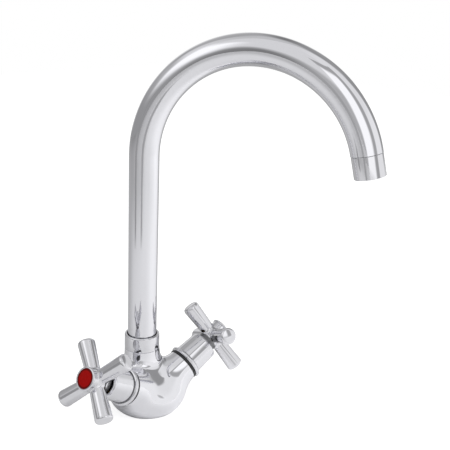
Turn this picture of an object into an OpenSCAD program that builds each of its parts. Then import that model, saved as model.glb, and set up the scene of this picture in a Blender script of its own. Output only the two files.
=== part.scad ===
// Two-handle kitchen mixer tap with a high swan-neck spout and cross handles.
// The origin is the centre of the foot on the worktop, +Z is up, -Y is the front.
// The hot valve is on the -X side and the cold valve on the +X side.
// Valve parts are drawn on their own axis, where Z is the distance from the point
// at which the two valve axes meet. Outlet parts are drawn from the end of the tube.

/* [Body] */
// Diameter of the rounded bowl at its widest
bowl_d = 62.4; // [60:0.2:66]
// Height of the widest part of the bowl above the worktop
bowl_h = 10.6; // [9:0.2:12]
// Half the height of the full bowl, of which the worktop cuts off the bottom
bowl_half = 17.4; // [16.4:0.2:19]
// Diameter of the neck that carries the spout
neck_d = 29; // [28.6:0.1:31]
// Height of the shoulder that the collar stands on
neck_h = 51; // [48:0.5:58]
// Distance of the swivel axis behind the centre of the foot
swivel_back = 7.2; // [6.6:0.1:8]
// Distance in front of the centre of the foot where the valve axes meet
cross_front = 8; // [7.2:0.1:8.6]
// Height at which the valve axes meet
cross_h = 13.4; // [13:0.2:16]
// Upward tilt of each valve axis in degrees
valve_tilt = 29; // [28:0.5:32]
// Forward sweep of each valve axis in degrees
valve_sweep = 5; // [2:0.5:7]
// Diameter of each arm where the valve axes meet
arm_root_d = 29; // [27:0.2:30]
// Diameter of each arm at its face
arm_face_d = 27.6; // [25.6:0.2:28]
// Distance along the valve axis from the meeting point to the face of the arm
arm_len = 35.2; // [34.6:0.2:40]
// Softness of the blend between the bowl and the arms
arm_blend = 3.8; // [3:0.2:5]
// Softness of the blend between the neck and the rest
neck_blend = 4.9; // [3.6:0.1:5.6]

/* [Foot and waterways] */
// Outer diameter of the rubber foot seal
foot_seal_d = 45; // [43:0.5:46]
// Width of the foot seal
foot_seal_w = 2.5; // [1.8:0.1:3]
// Height of the foot seal
foot_seal_h = 2.2; // [1.6:0.1:3]
// Diameter of each tapped inlet socket, an M10 x 1 thread at its core
inlet_d = 9; // [8.6:0.1:9.4]
// Depth of each inlet socket
inlet_depth = 8.5; // [7:0.5:9]
// Distance of each inlet socket to the side of the centre
inlet_side = 12.5; // [11.5:0.1:13]
// Distance of the inlet sockets in front of the centre
inlet_front = 6; // [5:0.1:7]
// Diameter of the tapped socket for the fixing stud, an M8 thread at its core
stud_d = 6.8; // [6.4:0.1:7.2]
// Depth of the stud socket
stud_depth = 14; // [10:0.5:16]
// Distance of the stud socket behind the centre
stud_back = 14; // [12:0.1:15]
// Diameter of the drilled waterways
passage_d = 6; // [4:0.1:6.6]
// Diameter of the mixing chamber under the neck
mixing_d = 13; // [10:0.5:15]
// Height of the floor of the mixing chamber
mixing_floor = 26; // [24:0.5:29]

/* [Swivel and collar] */
// Outer diameter of the collar nut
collar_d = 29.2; // [28.8:0.1:31]
// Diameter of the thread on the neck under the collar
neck_thread_d = 25; // [24.6:0.1:25.6]
// Length of the thread on the neck
neck_thread_l = 7; // [5:0.5:10]
// Diameter of the bore in the neck
neck_bore_d = 19; // [18:0.1:20]
// Depth of the neck bore from the top of the thread
neck_bore_l = 22; // [20:0.5:24]
// Thickness of the slide ring
slide_ring_t = 1; // [0.8:0.1:1.6]
// Thickness of the snap ring that holds the spout down
snap_ring_t = 2; // [1.4:0.1:2.6]
// Depth of the snap ring's groove in the spigot
snap_groove = 1.5; // [1:0.1:2]
// Thickness of the lip at the top of the collar
collar_lip = 2; // [1.6:0.1:3]
// Gap between the tube and the lip of the collar
lip_gap = 0.45; // [0.3:0.05:0.6]
// Diameter of the waterway through the spigot
spigot_bore = 12; // [9:0.5:13]
// Cross-section of the spigot's sealing rings
spigot_ring_w = 1.7; // [1.4:0.1:2]
// Distance between the two sealing rings
spigot_ring_pitch = 6; // [4:0.5:8]

/* [Spout] */
// Outer diameter of the spout tube
tube_d = 24; // [23.6:0.1:24.4]
// Wall of the spout tube
tube_wall = 1; // [0.8:0.1:1.2]
// Height of the centre of the arch
arch_h = 215; // [160:1:260]
// Radius of the arch along the middle of the tube
arch_r = 88; // [70:1:110]
// Angle of the arch in degrees
arch_turn = 166.5; // [150:0.5:175]
// Direction of the spout as it stands, from +X towards +Y in degrees
spout_turn = -63.5; // [-150:0.5:-30]

/* [Outlet] */
// Outer diameter of the outlet cap
cap_d = 23.6; // [23.4:0.1:24]
// Diameter of the thread on the outlet bush
bush_thread_d = 21.8; // [21.4:0.1:22]
// Length of that thread
bush_thread_l = 8; // [6:0.5:10]
// Thickness of the bush's shoulder, which shows as the seam
bush_shoulder = 0.4; // [0.3:0.05:0.8]
// Diameter of the waterway through the bush
bush_bore = 17.6; // [15:0.2:18]
// Length of the bush inside the tube
bush_plug = 5; // [4:0.5:6]
// Thickness of the outlet washer
outlet_washer_t = 1.2; // [0.8:0.1:2]
// Thickness of the flange of the flow insert
insert_flange = 1.2; // [0.8:0.1:2]
// Length of the flow insert below its flange
insert_l = 4.8; // [4:0.2:8]
// Thickness of the lip at the mouth of the cap
cap_lip = 1.4; // [1:0.1:2]
// Width of that lip
cap_lip_w = 2.6; // [2:0.1:3]
// Diameter of each hole in the flow insert
flow_hole_d = 1.6; // [1:0.1:1.8]
// Distance between the holes of the flow insert
flow_pitch = 2.6; // [2.4:0.1:3]
// Thickness of the screen
screen_t = 0.4; // [0.2:0.1:0.8]

/* [Headwork] */
// Distance along the valve axis to the seat
seat_at = 12; // [11.5:0.1:13]
// Diameter of the chamber around the headwork
chamber_d = 19.4; // [18.8:0.1:20]
// Diameter of the thread that holds the headwork, nominal half inch
head_thread_d = 20.9; // [20.4:0.1:21.2]
// Length of that thread
head_thread_l = 10; // [8:0.5:12]
// Diameter of the lower sleeve of the headwork
head_sleeve_d = 18.2; // [17.8:0.1:18.6]
// Diameter of the flange of the headwork
head_flange_d = 24; // [23:0.1:24.4]
// Thickness of that flange
head_flange_t = 2.5; // [2:0.1:3.5]
// Width across the flats of the hexagon
hex_af = 17; // [16:0.5:19]
// Height of the hexagon
hex_h = 5.5; // [4:0.5:7]
// Diameter of the guide above the hexagon
guide_d = 14; // [13:0.1:15]
// Height of the guide
guide_h = 8; // [7.5:0.1:10]
// Diameter of the spindle
spindle_d = 9.9; // [9:0.1:10]
// Diameter of the ceramic discs
disc_d = 16.6; // [16:0.1:16.8]
// Thickness of each ceramic disc
disc_t = 3; // [2.4:0.1:3.4]
// Diameter of the ports in the discs
port_d = 4.8; // [3:0.1:5.2]
// Distance of each port from the axis
port_at = 4.3; // [3.6:0.1:4.8]
// Thickness of the driving flange of the spindle
drive_t = 3; // [2.4:0.1:4]
// Width of the driving key
key_w = 3; // [2:0.1:4]
// Height of the driving key
key_h = 1.1; // [0.8:0.1:1.6]
// Thickness of the seat seal
seat_seal_t = 2; // [1.6:0.1:2.4]
// Inner diameter of the seat seal
seat_seal_bore = 9.2; // [8:0.1:10]
// Cross-section of the spindle's sealing rings
spindle_ring_w = 1.3; // [1:0.1:1.6]
// Thickness of the spindle's clip
clip_t = 0.9; // [0.6:0.1:1.2]
// Outer diameter of the clip
clip_d = 12.4; // [11.6:0.1:13]
// Diameter over the teeth of the spline
spline_d = 8; // [7.4:0.1:8.2]
// Depth of each tooth
tooth_depth = 0.4; // [0.3:0.05:0.6]
// Number of teeth of the spline
teeth = 20; // [16:1:24]

/* [Shroud] */
// Outer diameter of the black washer on the face of the arm
washer_d = 29.4; // [29:0.2:31]
// Thickness of that washer
washer_t = 2.1; // [1.2:0.1:2.4]
// Diameter of the bead at the foot of the shroud
bead_d = 31.6; // [31:0.2:34]
// Thickness of the bead
bead_t = 3.6; // [2.6:0.1:4.5]
// Diameter of the shroud above its bead
shroud_d = 26.8; // [26.6:0.1:28]
// Diameter of the shroud below its shoulder
shroud_top_d = 25.2; // [24.6:0.1:26.4]
// Distance along the valve axis to the top of the shroud
shroud_top = 62.6; // [62:0.2:66]
// Radius of the shoulder of the shroud
shoulder_r = 2.3; // [1.5:0.1:3.5]
// Wall of the shroud at its top
shroud_wall = 1.5; // [1:0.1:2]
// Gap round the hub in the mouth of the shroud
mouth_gap = 1.4; // [0.6:0.1:1.5]

/* [Handle] */
// Distance along the valve axis to the axes of the four arms
arms_at = 72.8; // [72:0.2:76]
// Distance from the valve axis to the end of each arm
arm_reach = 34.8; // [28:0.2:38]
// Diameter of each arm near the hub
arm_root = 11.2; // [10:0.1:12.4]
// Diameter of each arm at its end
arm_tip = 14.4; // [12:0.1:15]
// Radius of the edge at the end of each arm
tip_round = 1.9; // [1:0.1:2.5]
// Height of the dome on the end of each arm
tip_dome = 1; // [0.2:0.1:1.2]
// Diameter of the hub
hub_d = 17.2; // [16.8:0.1:17.6]
// Diameter of the ball where the arms meet
ball_d = 19; // [18:0.1:20]
// Height of the hub above the axes of the arms
hub_rise = 11.8; // [10.8:0.1:13]
// Diameter of the rim around the index disc
rim_d = 18.8; // [18:0.1:20]
// Height of the rim
rim_h = 2.2; // [1.8:0.1:3]
// Depth of the hub's skirt inside the shroud
skirt_in = 1.6; // [1:0.1:2.4]
// Diameter of the index disc
index_d = 15.8; // [15:0.1:16.2]
// Thickness of the index disc
index_t = 1.5; // [1:0.1:2]
// Diameter of the stem of the index disc
stem_d = 11; // [9.5:0.1:11.6]
// Length of that stem
stem_l = 4.5; // [3:0.1:6]
// Outer diameter of the splined insert
insert_d = 12.4; // [11.4:0.1:13]
// Diameter of the screw
screw_d = 3.9; // [3:0.1:4]
// Diameter of the head of the screw
screw_head_d = 7.2; // [6:0.1:8]
// Height of the head of the screw
screw_head_h = 3; // [2:0.1:4]
// Thickness of the web that the screw clamps
web_t = 3; // [2:0.1:4]
// Angle of the first arm of the hot handle, from its lowest place in degrees
handle_turn = 45; // [0:1:90]

/* [Hidden] */
$fn = 96;

hot = -1;
cold = 1;

// Clearances: between a thread and its nut, of a running fit, of a fixed fit,
// and between faces that pass each other
thread_gap = 0.05;
run_gap = 0.05;
fixed_gap = 0.03;
face_gap = 0.3;
disc_gap = 0.02;
// How much thinner the tube is where it is bent
bend_draw = 0.1;
// How far a cutting shape runs past the face that it cuts
over = 1;
// Room for a cutting shape that is larger than anything it cuts
beyond = 60;

// Heights on the swivel axis
neck_top = neck_h + neck_thread_l;
bore_floor = neck_top - neck_bore_l;
snap_z = neck_top + slide_ring_t + face_gap;
lip_z = snap_z + snap_ring_t + face_gap;
collar_top = lip_z + collar_lip;
tube_z = lip_z + 0.4 * collar_lip;
tube_bore = tube_d - 2 * tube_wall;
spigot_d = neck_bore_d - 2 * run_gap;
snap_in_d = tube_bore - 2 * snap_groove + 2 * fixed_gap;
snap_out_d = tube_d + 2 * lip_gap + 1.4;
cavity_d = snap_out_d + 2 * face_gap;

// Distances along the valve axis; the waterway from below comes into the seat's bore
// so far under the seat that its round end lies wholly inside that bore
seat_bore_l = 1.2 * passage_d;
inflow_at = 0.65 * passage_d;
thread_from = arm_len - head_thread_l;
flange_at = arm_len + washer_t;
hex_at = flange_at + head_flange_t;
guide_at = hex_at + hex_h;
guide_top = guide_at + guide_h;
fixed_at = seat_at + seat_seal_t;
turning_at = fixed_at + disc_t + disc_gap;
drive_at = turning_at + disc_t + disc_gap;
drive_top = drive_at + drive_t;
clip_at = guide_top + 0.1;
spindle_bore = spindle_d + 2 * run_gap;
head_cavity_d = disc_d + 4 * run_gap;
skirt_at = shroud_top - skirt_in;
web_at = arms_at - web_t - 0.2;
web_top = web_at + web_t;
spindle_top = web_at - 0.1;
spline_at = clip_at + clip_t + 3;
hub_top = arms_at + hub_rise;
index_seat = hub_top - index_t - 0.2;
mouth_d = min(hub_d + 2 * mouth_gap, shroud_top_d - 2 * shoulder_r - 0.2);

// Distances from the end of the tube along the outlet
bush_end = bush_shoulder + bush_thread_l;
flange_seat = bush_end + outlet_washer_t + insert_flange;
cap_end = flange_seat + insert_l + 0.2 + cap_lip;
cap_thread_d = bush_thread_d + 2 * thread_gap;
cap_bore = cap_d - 2 * cap_lip_w + 1.6;
cap_mouth = cap_d - 2 * cap_lip_w;

// Where the valve axes meet, and the direction of each of them
meet = [0, -cross_front, cross_h];
function valve_dir(side) = [side * cos(valve_sweep) * cos(valve_tilt),
                            -sin(valve_sweep) * cos(valve_tilt),
                            sin(valve_tilt)];

// Sum of a list, and the soft minimum of a list of distances
function total(v, i = 0) = i < len(v) ? v[i] + total(v, i + 1) : 0;
function soft_min(v, k) = -k * ln(total([for (d = v) exp(-d / k)]));

// Distance from point p to a round bar from a to b, whose radius runs from ra to rb
function part_way(p, a, b) = max(0, min(1, (p - a) * (b - a) / ((b - a) * (b - a))));
function bar_gap(p, a, b, ra, rb) =
    let (t = part_way(p, a, b)) norm(p - a - t * (b - a)) - ra - (rb - ra) * t;

// Distance from p to the bowl, to one arm, and to the neck
bowl_r = bowl_d / 2;
function bowl_gap(p) =
    (norm([p[0] / bowl_r, p[1] / bowl_r, (p[2] - bowl_h) / bowl_half]) - 1) * min(bowl_r, bowl_half);
function arm_gap(p, side) =
    bar_gap(p, meet, meet + arm_len * valve_dir(side), arm_root_d / 2, arm_face_d / 2);
function neck_gap(p) =
    bar_gap(p, [0, swivel_back, cross_h], [0, swivel_back, neck_h], neck_d / 2, neck_d / 2);

// The body's surface is where this distance is zero
function body_gap(p) =
    soft_min([soft_min([bowl_gap(p), arm_gap(p, hot), arm_gap(p, cold)], arm_blend), neck_gap(p)],
             neck_blend);

// Every point of the surface is seen from this one, so the distance to it
// along a direction is found by halving
heart = [0, (swivel_back - cross_front) / 2, cross_h + 3.5];
function reach(dir, near, far, n = 0) =
    n > 20 ? (near + far) / 2
    : body_gap(heart + (near + far) / 2 * dir) < 0 ? reach(dir, (near + far) / 2, far, n + 1)
    : reach(dir, near, (near + far) / 2, n + 1);
// The columns stand off the planes of symmetry, by a share of one column
skin_cols = 60;
skin_rings = 30;
skin_shift = 0.37;
far_enough = neck_h + arm_len + bowl_d;
function skin_point(i, j) =
    let (u = 180 * i / skin_rings, w = 360 * (j + skin_shift) / skin_cols,
         dir = [sin(u) * cos(w), sin(u) * sin(w), cos(u)])
    heart + reach(dir, 1, far_enough) * dir;
function skin_index(i, j) = 1 + (i - 1) * skin_cols + j % skin_cols;

// The soft outer shape of the body, before it is cut and bored
module body_skin() {
    last = 1 + (skin_rings - 1) * skin_cols;
    cols = [0 : skin_cols - 1];
    points = concat([skin_point(0, 0)],
                    [for (i = [1 : skin_rings - 1], j = cols) skin_point(i, j)],
                    [skin_point(skin_rings, 0)]);
    cap = [for (j = cols) [0, skin_index(1, j + 1), skin_index(1, j)]];
    near = [for (i = [1 : skin_rings - 2], j = cols)
            [skin_index(i, j), skin_index(i, j + 1), skin_index(i + 1, j + 1)]];
    far = [for (i = [1 : skin_rings - 2], j = cols)
           [skin_index(i, j), skin_index(i + 1, j + 1), skin_index(i + 1, j)]];
    floor_cap = [for (j = cols)
                 [last, skin_index(skin_rings - 1, j), skin_index(skin_rings - 1, j + 1)]];
    polyhedron(points, concat(cap, near, far, floor_cap), convexity = 6);
}

// A quarter of a round edge as outline points, centred on (x, y), from angle a to angle b
function round_edge(x, y, r, a, b, n = 6) =
    [for (i = [0 : n]) let (t = a + (b - a) * i / n) [x + r * cos(t), y + r * sin(t)]];

// Places its children on the valve axis, with Z outwards along it
module on_valve(side) {
    translate(meet)
        rotate([0, 0, side == cold ? -valve_sweep : 180 + valve_sweep])
            rotate([0, 90 - valve_tilt, 0]) children();
}

// Places its children on the swivel axis, turned to where the spout stands
module on_swivel(turn = 0) {
    translate([0, swivel_back, 0]) rotate([0, 0, turn]) children();
}

// Places its children at the end of the tube, with Z out of the outlet
module on_outlet() {
    drop = 180 - arch_turn;
    on_swivel(spout_turn)
        translate([arch_r + arch_r * cos(drop), 0, arch_h + arch_r * sin(drop)])
            rotate([0, 180 - drop, 0]) children();
}

// A straight round passage from point a to point b
module passage(a, b, d) {
    v = b - a;
    translate(a)
        rotate([0, acos(v[2] / norm(v)), atan2(v[1], v[0])]) cylinder(d = d, h = norm(v));
}

// A ring from radius r_in to r_out that stands on height z
module ring(d_in, d_out, z, h) {
    translate([0, 0, z]) difference() {
        cylinder(d = d_out, h = h);
        translate([0, 0, -over]) cylinder(d = d_in, h = h + 2 * over);
    }
}

// A round sealing ring that lies at height z on a groove of diameter d
module seal_ring(d, w, z) {
    translate([0, 0, z]) rotate_extrude() translate([(d + w) / 2, 0]) circle(d = w, $fn = 24);
}

// Body and foot

module body() {
    color("silver") difference() {
        union() {
            difference() {
                body_skin();
                translate([0, 0, -beyond]) cylinder(r = beyond, h = beyond);
                on_swivel() translate([0, 0, neck_h]) cylinder(d = 1.6 * neck_d, h = beyond);
                for (side = [hot, cold])
                    on_valve(side) translate([0, 0, arm_len]) cylinder(d = 1.6 * arm_face_d, h = beyond);
            }
            on_swivel() translate([0, 0, neck_h - over])
                cylinder(d = neck_thread_d, h = neck_thread_l + over);
        }
        on_swivel() {
            translate([0, 0, bore_floor]) cylinder(d = neck_bore_d, h = beyond);
            translate([0, 0, mixing_floor]) cylinder(d = mixing_d, h = beyond);
        }
        for (side = [hot, cold]) {
            on_valve(side) {
                translate([0, 0, thread_from])
                    cylinder(d = head_thread_d + 2 * thread_gap, h = beyond);
                translate([0, 0, seat_at]) cylinder(d = chamber_d, h = head_thread_l + arm_len);
                translate([0, 0, seat_at - seat_bore_l])
                    cylinder(d = seat_seal_bore - over, h = seat_bore_l + over);
            }
            inlet_socket(side);
            passage([side * inlet_side, -inlet_front, inlet_depth - over],
                    meet + (seat_at - inflow_at) * valve_dir(side), passage_d);
            passage(meet + (seat_at + passage_d) * valve_dir(side),
                    [side * mixing_d / 4, swivel_back, mixing_floor + passage_d], passage_d);
        }
        translate([0, stud_back, -over]) cylinder(d = stud_d, h = stud_depth + over);
        ring(foot_seal_d - 2 * foot_seal_w - 2 * run_gap, foot_seal_d + 2 * run_gap, -over,
             foot_seal_h + run_gap + over);
    }
}

module inlet_socket(side) {
    translate([side * inlet_side, -inlet_front, -over]) cylinder(d = inlet_d, h = inlet_depth + over);
}

module foot_seal() {
    color("dimgray") ring(foot_seal_d - 2 * foot_seal_w, foot_seal_d, 0, foot_seal_h);
}

// Swivel and collar

module slide_ring() {
    color("white") on_swivel()
        ring(spigot_d + 2 * face_gap, neck_thread_d, neck_top, slide_ring_t);
}

module collar_nut() {
    r = collar_d / 2;
    nut_r = neck_thread_d / 2 + thread_gap;
    lip_r = tube_d / 2 + lip_gap;
    edge = 0.7 * (r - lip_r);
    color("silver") on_swivel() rotate_extrude() polygon(concat(
        [[nut_r, neck_h], [r, neck_h]],
        round_edge(r - edge, collar_top - edge, edge, 0, 90),
        [[lip_r, collar_top], [lip_r, lip_z], [cavity_d / 2, lip_z], [cavity_d / 2, neck_top],
         [nut_r, neck_top]]));
}

module snap_ring() {
    color("goldenrod") on_swivel(spout_turn) difference() {
        ring(snap_in_d, snap_out_d, snap_z, snap_ring_t);
        translate([0, -0.15 * snap_in_d, snap_z - over])
            cube([snap_out_d, 0.3 * snap_in_d, snap_ring_t + 2 * over]);
    }
}

module spout_spigot() {
    plug_d = tube_bore - 2 * fixed_gap;
    groove_d = spigot_d - 2 * spigot_ring_w;
    color("goldenrod") on_swivel(spout_turn) difference() {
        union() {
            translate([0, 0, bore_floor + face_gap])
                cylinder(d = spigot_d, h = snap_z - bore_floor - face_gap);
            translate([0, 0, snap_z - over / 2])
                cylinder(d = min(spigot_d, snap_in_d - 2 * fixed_gap), h = snap_ring_t + over);
            translate([0, 0, snap_z + snap_ring_t + fixed_gap])
                cylinder(d = tube_d - 0.2, h = tube_z - snap_z - snap_ring_t - fixed_gap);
            translate([0, 0, tube_z - over / 2]) cylinder(d = plug_d, h = 10);
        }
        translate([0, 0, bore_floor - over]) cylinder(d = spigot_bore, h = beyond);
        for (i = [0, 1])
            ring(groove_d, spigot_d + over, spigot_ring_z(i) - 0.6 * spigot_ring_w, 1.2 * spigot_ring_w);
    }
}

// Height of the middle of sealing ring i of the spigot
function spigot_ring_z(i) = bore_floor + 5 + i * spigot_ring_pitch;

module spigot_seals() {
    color("black") on_swivel(spout_turn)
        for (i = [0, 1]) seal_ring(spigot_d - 2 * spigot_ring_w, spigot_ring_w, spigot_ring_z(i));
}

// Spout and outlet

// A round bar of diameter d along the middle of the spout, from height z up.
// Bending draws the tube down slightly, so the arch ends inside the straight part.
module spout_bar(d, z) {
    translate([0, 0, z]) cylinder(d = d, h = arch_h + over - z);
    translate([arch_r, 0, arch_h]) rotate([90, 0, 0]) rotate([0, 0, 180 - arch_turn])
        rotate_extrude(angle = arch_turn) translate([arch_r, 0]) circle(d = d - bend_draw);
}

module spout_tube() {
    color("silver") on_swivel(spout_turn) difference() {
        spout_bar(tube_d, tube_z);
        spout_bar(tube_bore, tube_z - over);
    }
}

module outlet_bush() {
    plug_d = tube_bore - 2 * face_gap;
    color("goldenrod") on_outlet() difference() {
        union() {
            translate([0, 0, -bush_plug]) cylinder(d = plug_d, h = bush_plug + over / 2);
            cylinder(d = cap_d - 0.8, h = bush_shoulder);
            cylinder(d = bush_thread_d, h = bush_end);
        }
        translate([0, 0, -bush_plug - over]) cylinder(d = bush_bore, h = bush_plug + bush_end + 2 * over);
    }
}

module outlet_cap() {
    r = cap_d / 2;
    edge = 0.5;
    color("silver") on_outlet() rotate_extrude() polygon(concat(
        [[cap_thread_d / 2, bush_shoulder], [r, bush_shoulder]],
        round_edge(r - edge, cap_end - edge, edge, 0, 90),
        round_edge(cap_mouth / 2 + edge, cap_end - edge, edge, 90, 180),
        [[cap_mouth / 2, cap_end - cap_lip], [cap_bore / 2, cap_end - cap_lip],
         [cap_bore / 2, flange_seat], [cap_thread_d / 2, flange_seat]]));
}

module outlet_washer() {
    color("dimgray") on_outlet() ring(bush_bore, bush_thread_d - 0.2, bush_end, outlet_washer_t);
}

// Places its children on each point of a honeycomb that lies inside diameter d
module honeycomb(pitch, d) {
    n = floor(d / 2 / pitch);
    for (i = [-n : n], j = [-n : n]) {
        p = [(i + j / 2) * pitch, j * pitch * sqrt(3) / 2];
        if (norm(p) <= d / 2) translate(p) children();
    }
}

module flow_insert() {
    wall = 1.2;
    body_d = cap_bore - 2 * fixed_gap;
    bore = body_d - 2 * wall;
    top = bush_end + outlet_washer_t;
    color("whitesmoke") on_outlet() difference() {
        union() {
            translate([0, 0, top]) cylinder(d = bush_thread_d - 0.2, h = insert_flange);
            translate([0, 0, top]) cylinder(d = body_d, h = insert_flange + insert_l);
        }
        translate([0, 0, top - over]) cylinder(d = bore, h = insert_flange + insert_l - wall + over);
        translate([0, 0, top]) honeycomb(flow_pitch, cap_mouth - 2 * flow_hole_d)
            cylinder(d = flow_hole_d, h = insert_flange + insert_l + over, $fn = 24);
    }
}

module outlet_screen() {
    bore = cap_bore - 2 * fixed_gap - 2.4;
    color("gray") on_outlet()
        translate([0, 0, flange_seat + insert_l - 1.2 - screen_t]) difference() {
            cylinder(d = bore - 2 * fixed_gap, h = screen_t);
            translate([0, 0, -over]) honeycomb(flow_pitch, bore - 2 * flow_hole_d)
                cylinder(d = flow_hole_d / 2, h = screen_t + 2 * over, $fn = 24);
        }
}

// Headwork

module headwork(side) {
    color("goldenrod") on_valve(side) difference() {
        union() {
            translate([0, 0, seat_at + face_gap])
                cylinder(d = head_sleeve_d, h = thread_from - seat_at - face_gap + over);
            translate([0, 0, thread_from]) cylinder(d = head_thread_d, h = flange_at - thread_from);
            translate([0, 0, flange_at]) cylinder(d = head_flange_d, h = head_flange_t);
            translate([0, 0, hex_at - over / 2])
                cylinder(d = hex_af / cos(30), h = hex_h + over / 2, $fn = 6);
            translate([0, 0, guide_at - over / 2]) cylinder(d = guide_d, h = guide_h + over / 2);
        }
        cylinder(d = head_cavity_d, h = drive_top + 0.2);
        cylinder(d = spindle_bore, h = guide_top + over);
        translate([-head_sleeve_d, -port_d / 2, fixed_at + disc_t - over])
            cube([2 * head_sleeve_d, port_d, disc_t + over]);
    }
}

module seat_seal(side) {
    color("black") on_valve(side) ring(seat_seal_bore, disc_d, seat_at, seat_seal_t);
}

// A ceramic disc at distance z with its two ports, turned by an angle
module port_disc(z, turn) {
    translate([0, 0, z]) rotate([0, 0, turn]) difference() {
        cylinder(d = disc_d, h = disc_t);
        for (i = [-1, 1]) translate([i * port_at, 0, -over]) cylinder(d = port_d, h = disc_t + 2 * over);
    }
}

module fixed_disc(side) {
    color("ivory") on_valve(side) port_disc(fixed_at, 0);
}

module turning_disc(side) {
    color("ivory") on_valve(side) difference() {
        port_disc(turning_at, 90);
        translate([0, 0, turning_at + disc_t - key_h])
            translate([-key_w / 2, -disc_d, 0]) cube([key_w, 2 * disc_d, key_h + over]);
    }
}

// Outline of the spline, with a clearance around it
function spline_outline(gap) =
    [for (i = [0 : 2 * teeth - 1])
        let (r = spline_d / 2 + gap - (i % 2) * tooth_depth, t = 180 * i / teeth)
        [r * cos(t), r * sin(t)]];

// Distance to the middle of sealing ring i of the spindle
function spindle_ring_at(i) = guide_top - 2 - i * 2.6;

module spindle(side) {
    groove_d = spindle_d - 2 * spindle_ring_w;
    color("goldenrod") on_valve(side) difference() {
        union() {
            translate([-key_w / 2 + run_gap, -disc_d / 2 + over, drive_at - key_h + run_gap])
                cube([key_w - 2 * run_gap, disc_d - 2 * over, key_h + over / 2]);
            translate([0, 0, drive_at]) cylinder(d = disc_d, h = drive_t);
            translate([0, 0, drive_at + over / 2]) cylinder(d = spindle_d, h = spline_at - drive_at - over / 2);
            translate([0, 0, spline_at - over / 2])
                linear_extrude(spindle_top - spline_at + over / 2) polygon(spline_outline(0));
        }
        ring(clip_d - 4, clip_d + over, clip_at, clip_t);
        for (i = [0, 1])
            ring(groove_d, spindle_d + over, spindle_ring_at(i) - 0.6 * spindle_ring_w,
                 1.2 * spindle_ring_w);
        translate([0, 0, spindle_top - 9]) cylinder(d = screw_d + 2 * thread_gap, h = 9 + over);
    }
}

module spindle_seals(side) {
    color("black") on_valve(side)
        for (i = [0, 1]) seal_ring(spindle_d - 2 * spindle_ring_w, spindle_ring_w, spindle_ring_at(i));
}

module spindle_clip(side) {
    color("gray") on_valve(side) difference() {
        ring(clip_d - 4 + 2 * fixed_gap, clip_d, clip_at + fixed_gap, clip_t - 2 * fixed_gap);
        translate([0, -1.5, clip_at - over]) cube([clip_d, 3, clip_t + 2 * over]);
    }
}

// Shroud and washer

module washer(side) {
    color("black") on_valve(side) ring(head_thread_d + 2 * thread_gap, washer_d, arm_len, washer_t);
}

module shroud(side) {
    z0 = flange_at;
    bead = bead_t / 2;
    fillet = (bead_d - shroud_d) / 4;
    inner = head_flange_d + 2 * fixed_gap;
    top_inner = shroud_top_d - 2 * shroud_wall;
    color("silver") on_valve(side) rotate_extrude() polygon(concat(
        [[inner / 2, z0]],
        round_edge(bead_d / 2 - bead, z0 + bead, bead, -90, 90, 12),
        round_edge(shroud_d / 2 + fillet, z0 + bead_t + fillet, fillet, 270, 180),
        round_edge(shroud_top_d / 2 - shoulder_r, shroud_top - shoulder_r, shoulder_r, 0, 90),
        [[mouth_d / 2, shroud_top], [mouth_d / 2, shroud_top - shroud_wall],
         [top_inner / 2 - shroud_wall, shroud_top - shroud_wall],
         [top_inner / 2, shroud_top - 2 * shroud_wall],
         [inner / 2, hex_at + face_gap]]));
}

// Handle

// One arm of the handle, drawn along Z from the valve axis
module handle_arm() {
    end_r = arm_tip / 2;
    rotate_extrude() polygon(concat(
        [[0, 0], [arm_root / 2, 0]],
        round_edge(end_r - tip_round, arm_reach - tip_round - tip_dome, tip_round, 0, 75),
        [[0, arm_reach]]));
}

// Turn of a handle at rest: the cold one is set one tooth further round
function rest_turn(side) = handle_turn + (side == cold ? 360 / teeth : 0);

module handle(side) {
    edge = rim_h / 2;
    color("silver") on_valve(side) difference() {
        union() {
            translate([0, 0, skirt_at]) cylinder(d = hub_d, h = hub_top - rim_h / 2 - skirt_at);
            translate([0, 0, arms_at]) sphere(d = ball_d);
            rotate_extrude() polygon(concat(
                [[0, hub_top - rim_h]],
                round_edge(rim_d / 2 - edge, hub_top - edge, edge, -90, 90, 10),
                [[0, hub_top]]));
            for (i = [0 : 3])
                rotate([0, 0, rest_turn(side) + 90 * i]) translate([0, 0, arms_at])
                    rotate([0, 90, 0]) handle_arm();
        }
        translate([0, 0, skirt_at - over]) cylinder(d = insert_d + 2 * fixed_gap, h = web_at - skirt_at + over);
        translate([0, 0, skirt_at]) cylinder(d = screw_d + 0.4, h = web_top - skirt_at + over);
        translate([0, 0, web_top]) cylinder(d = stem_d + 2 * fixed_gap, h = beyond);
        translate([0, 0, index_seat]) cylinder(d = index_d + 2 * fixed_gap, h = beyond);
    }
}

module spline_insert(side) {
    z0 = skirt_at + face_gap;
    color("whitesmoke") on_valve(side) translate([0, 0, z0])
        linear_extrude(web_at - z0) difference() {
            circle(d = insert_d);
            polygon(spline_outline(thread_gap));
        }
}

module handle_screw(side) {
    color("gray") on_valve(side) difference() {
        union() {
            translate([0, 0, web_top]) cylinder(d = screw_head_d, h = screw_head_h);
            translate([0, 0, spindle_top - 8]) cylinder(d = screw_d, h = web_top - spindle_top + 8 + over / 2);
        }
        translate([0, 0, web_top + screw_head_h / 2])
            cylinder(d = 0.4 * screw_head_d / cos(30), h = screw_head_h, $fn = 6);
    }
}

module index_disc(side) {
    edge = 0.4;
    color(side == hot ? "red" : "royalblue") on_valve(side) {
        rotate_extrude() polygon(concat(
            [[0, index_seat], [index_d / 2, index_seat]],
            round_edge(index_d / 2 - edge, index_seat + index_t - edge, edge, 0, 90),
            [[0, index_seat + index_t]]));
        ring(stem_d - 2.4, stem_d, index_seat - stem_l, stem_l);
    }
}

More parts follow.
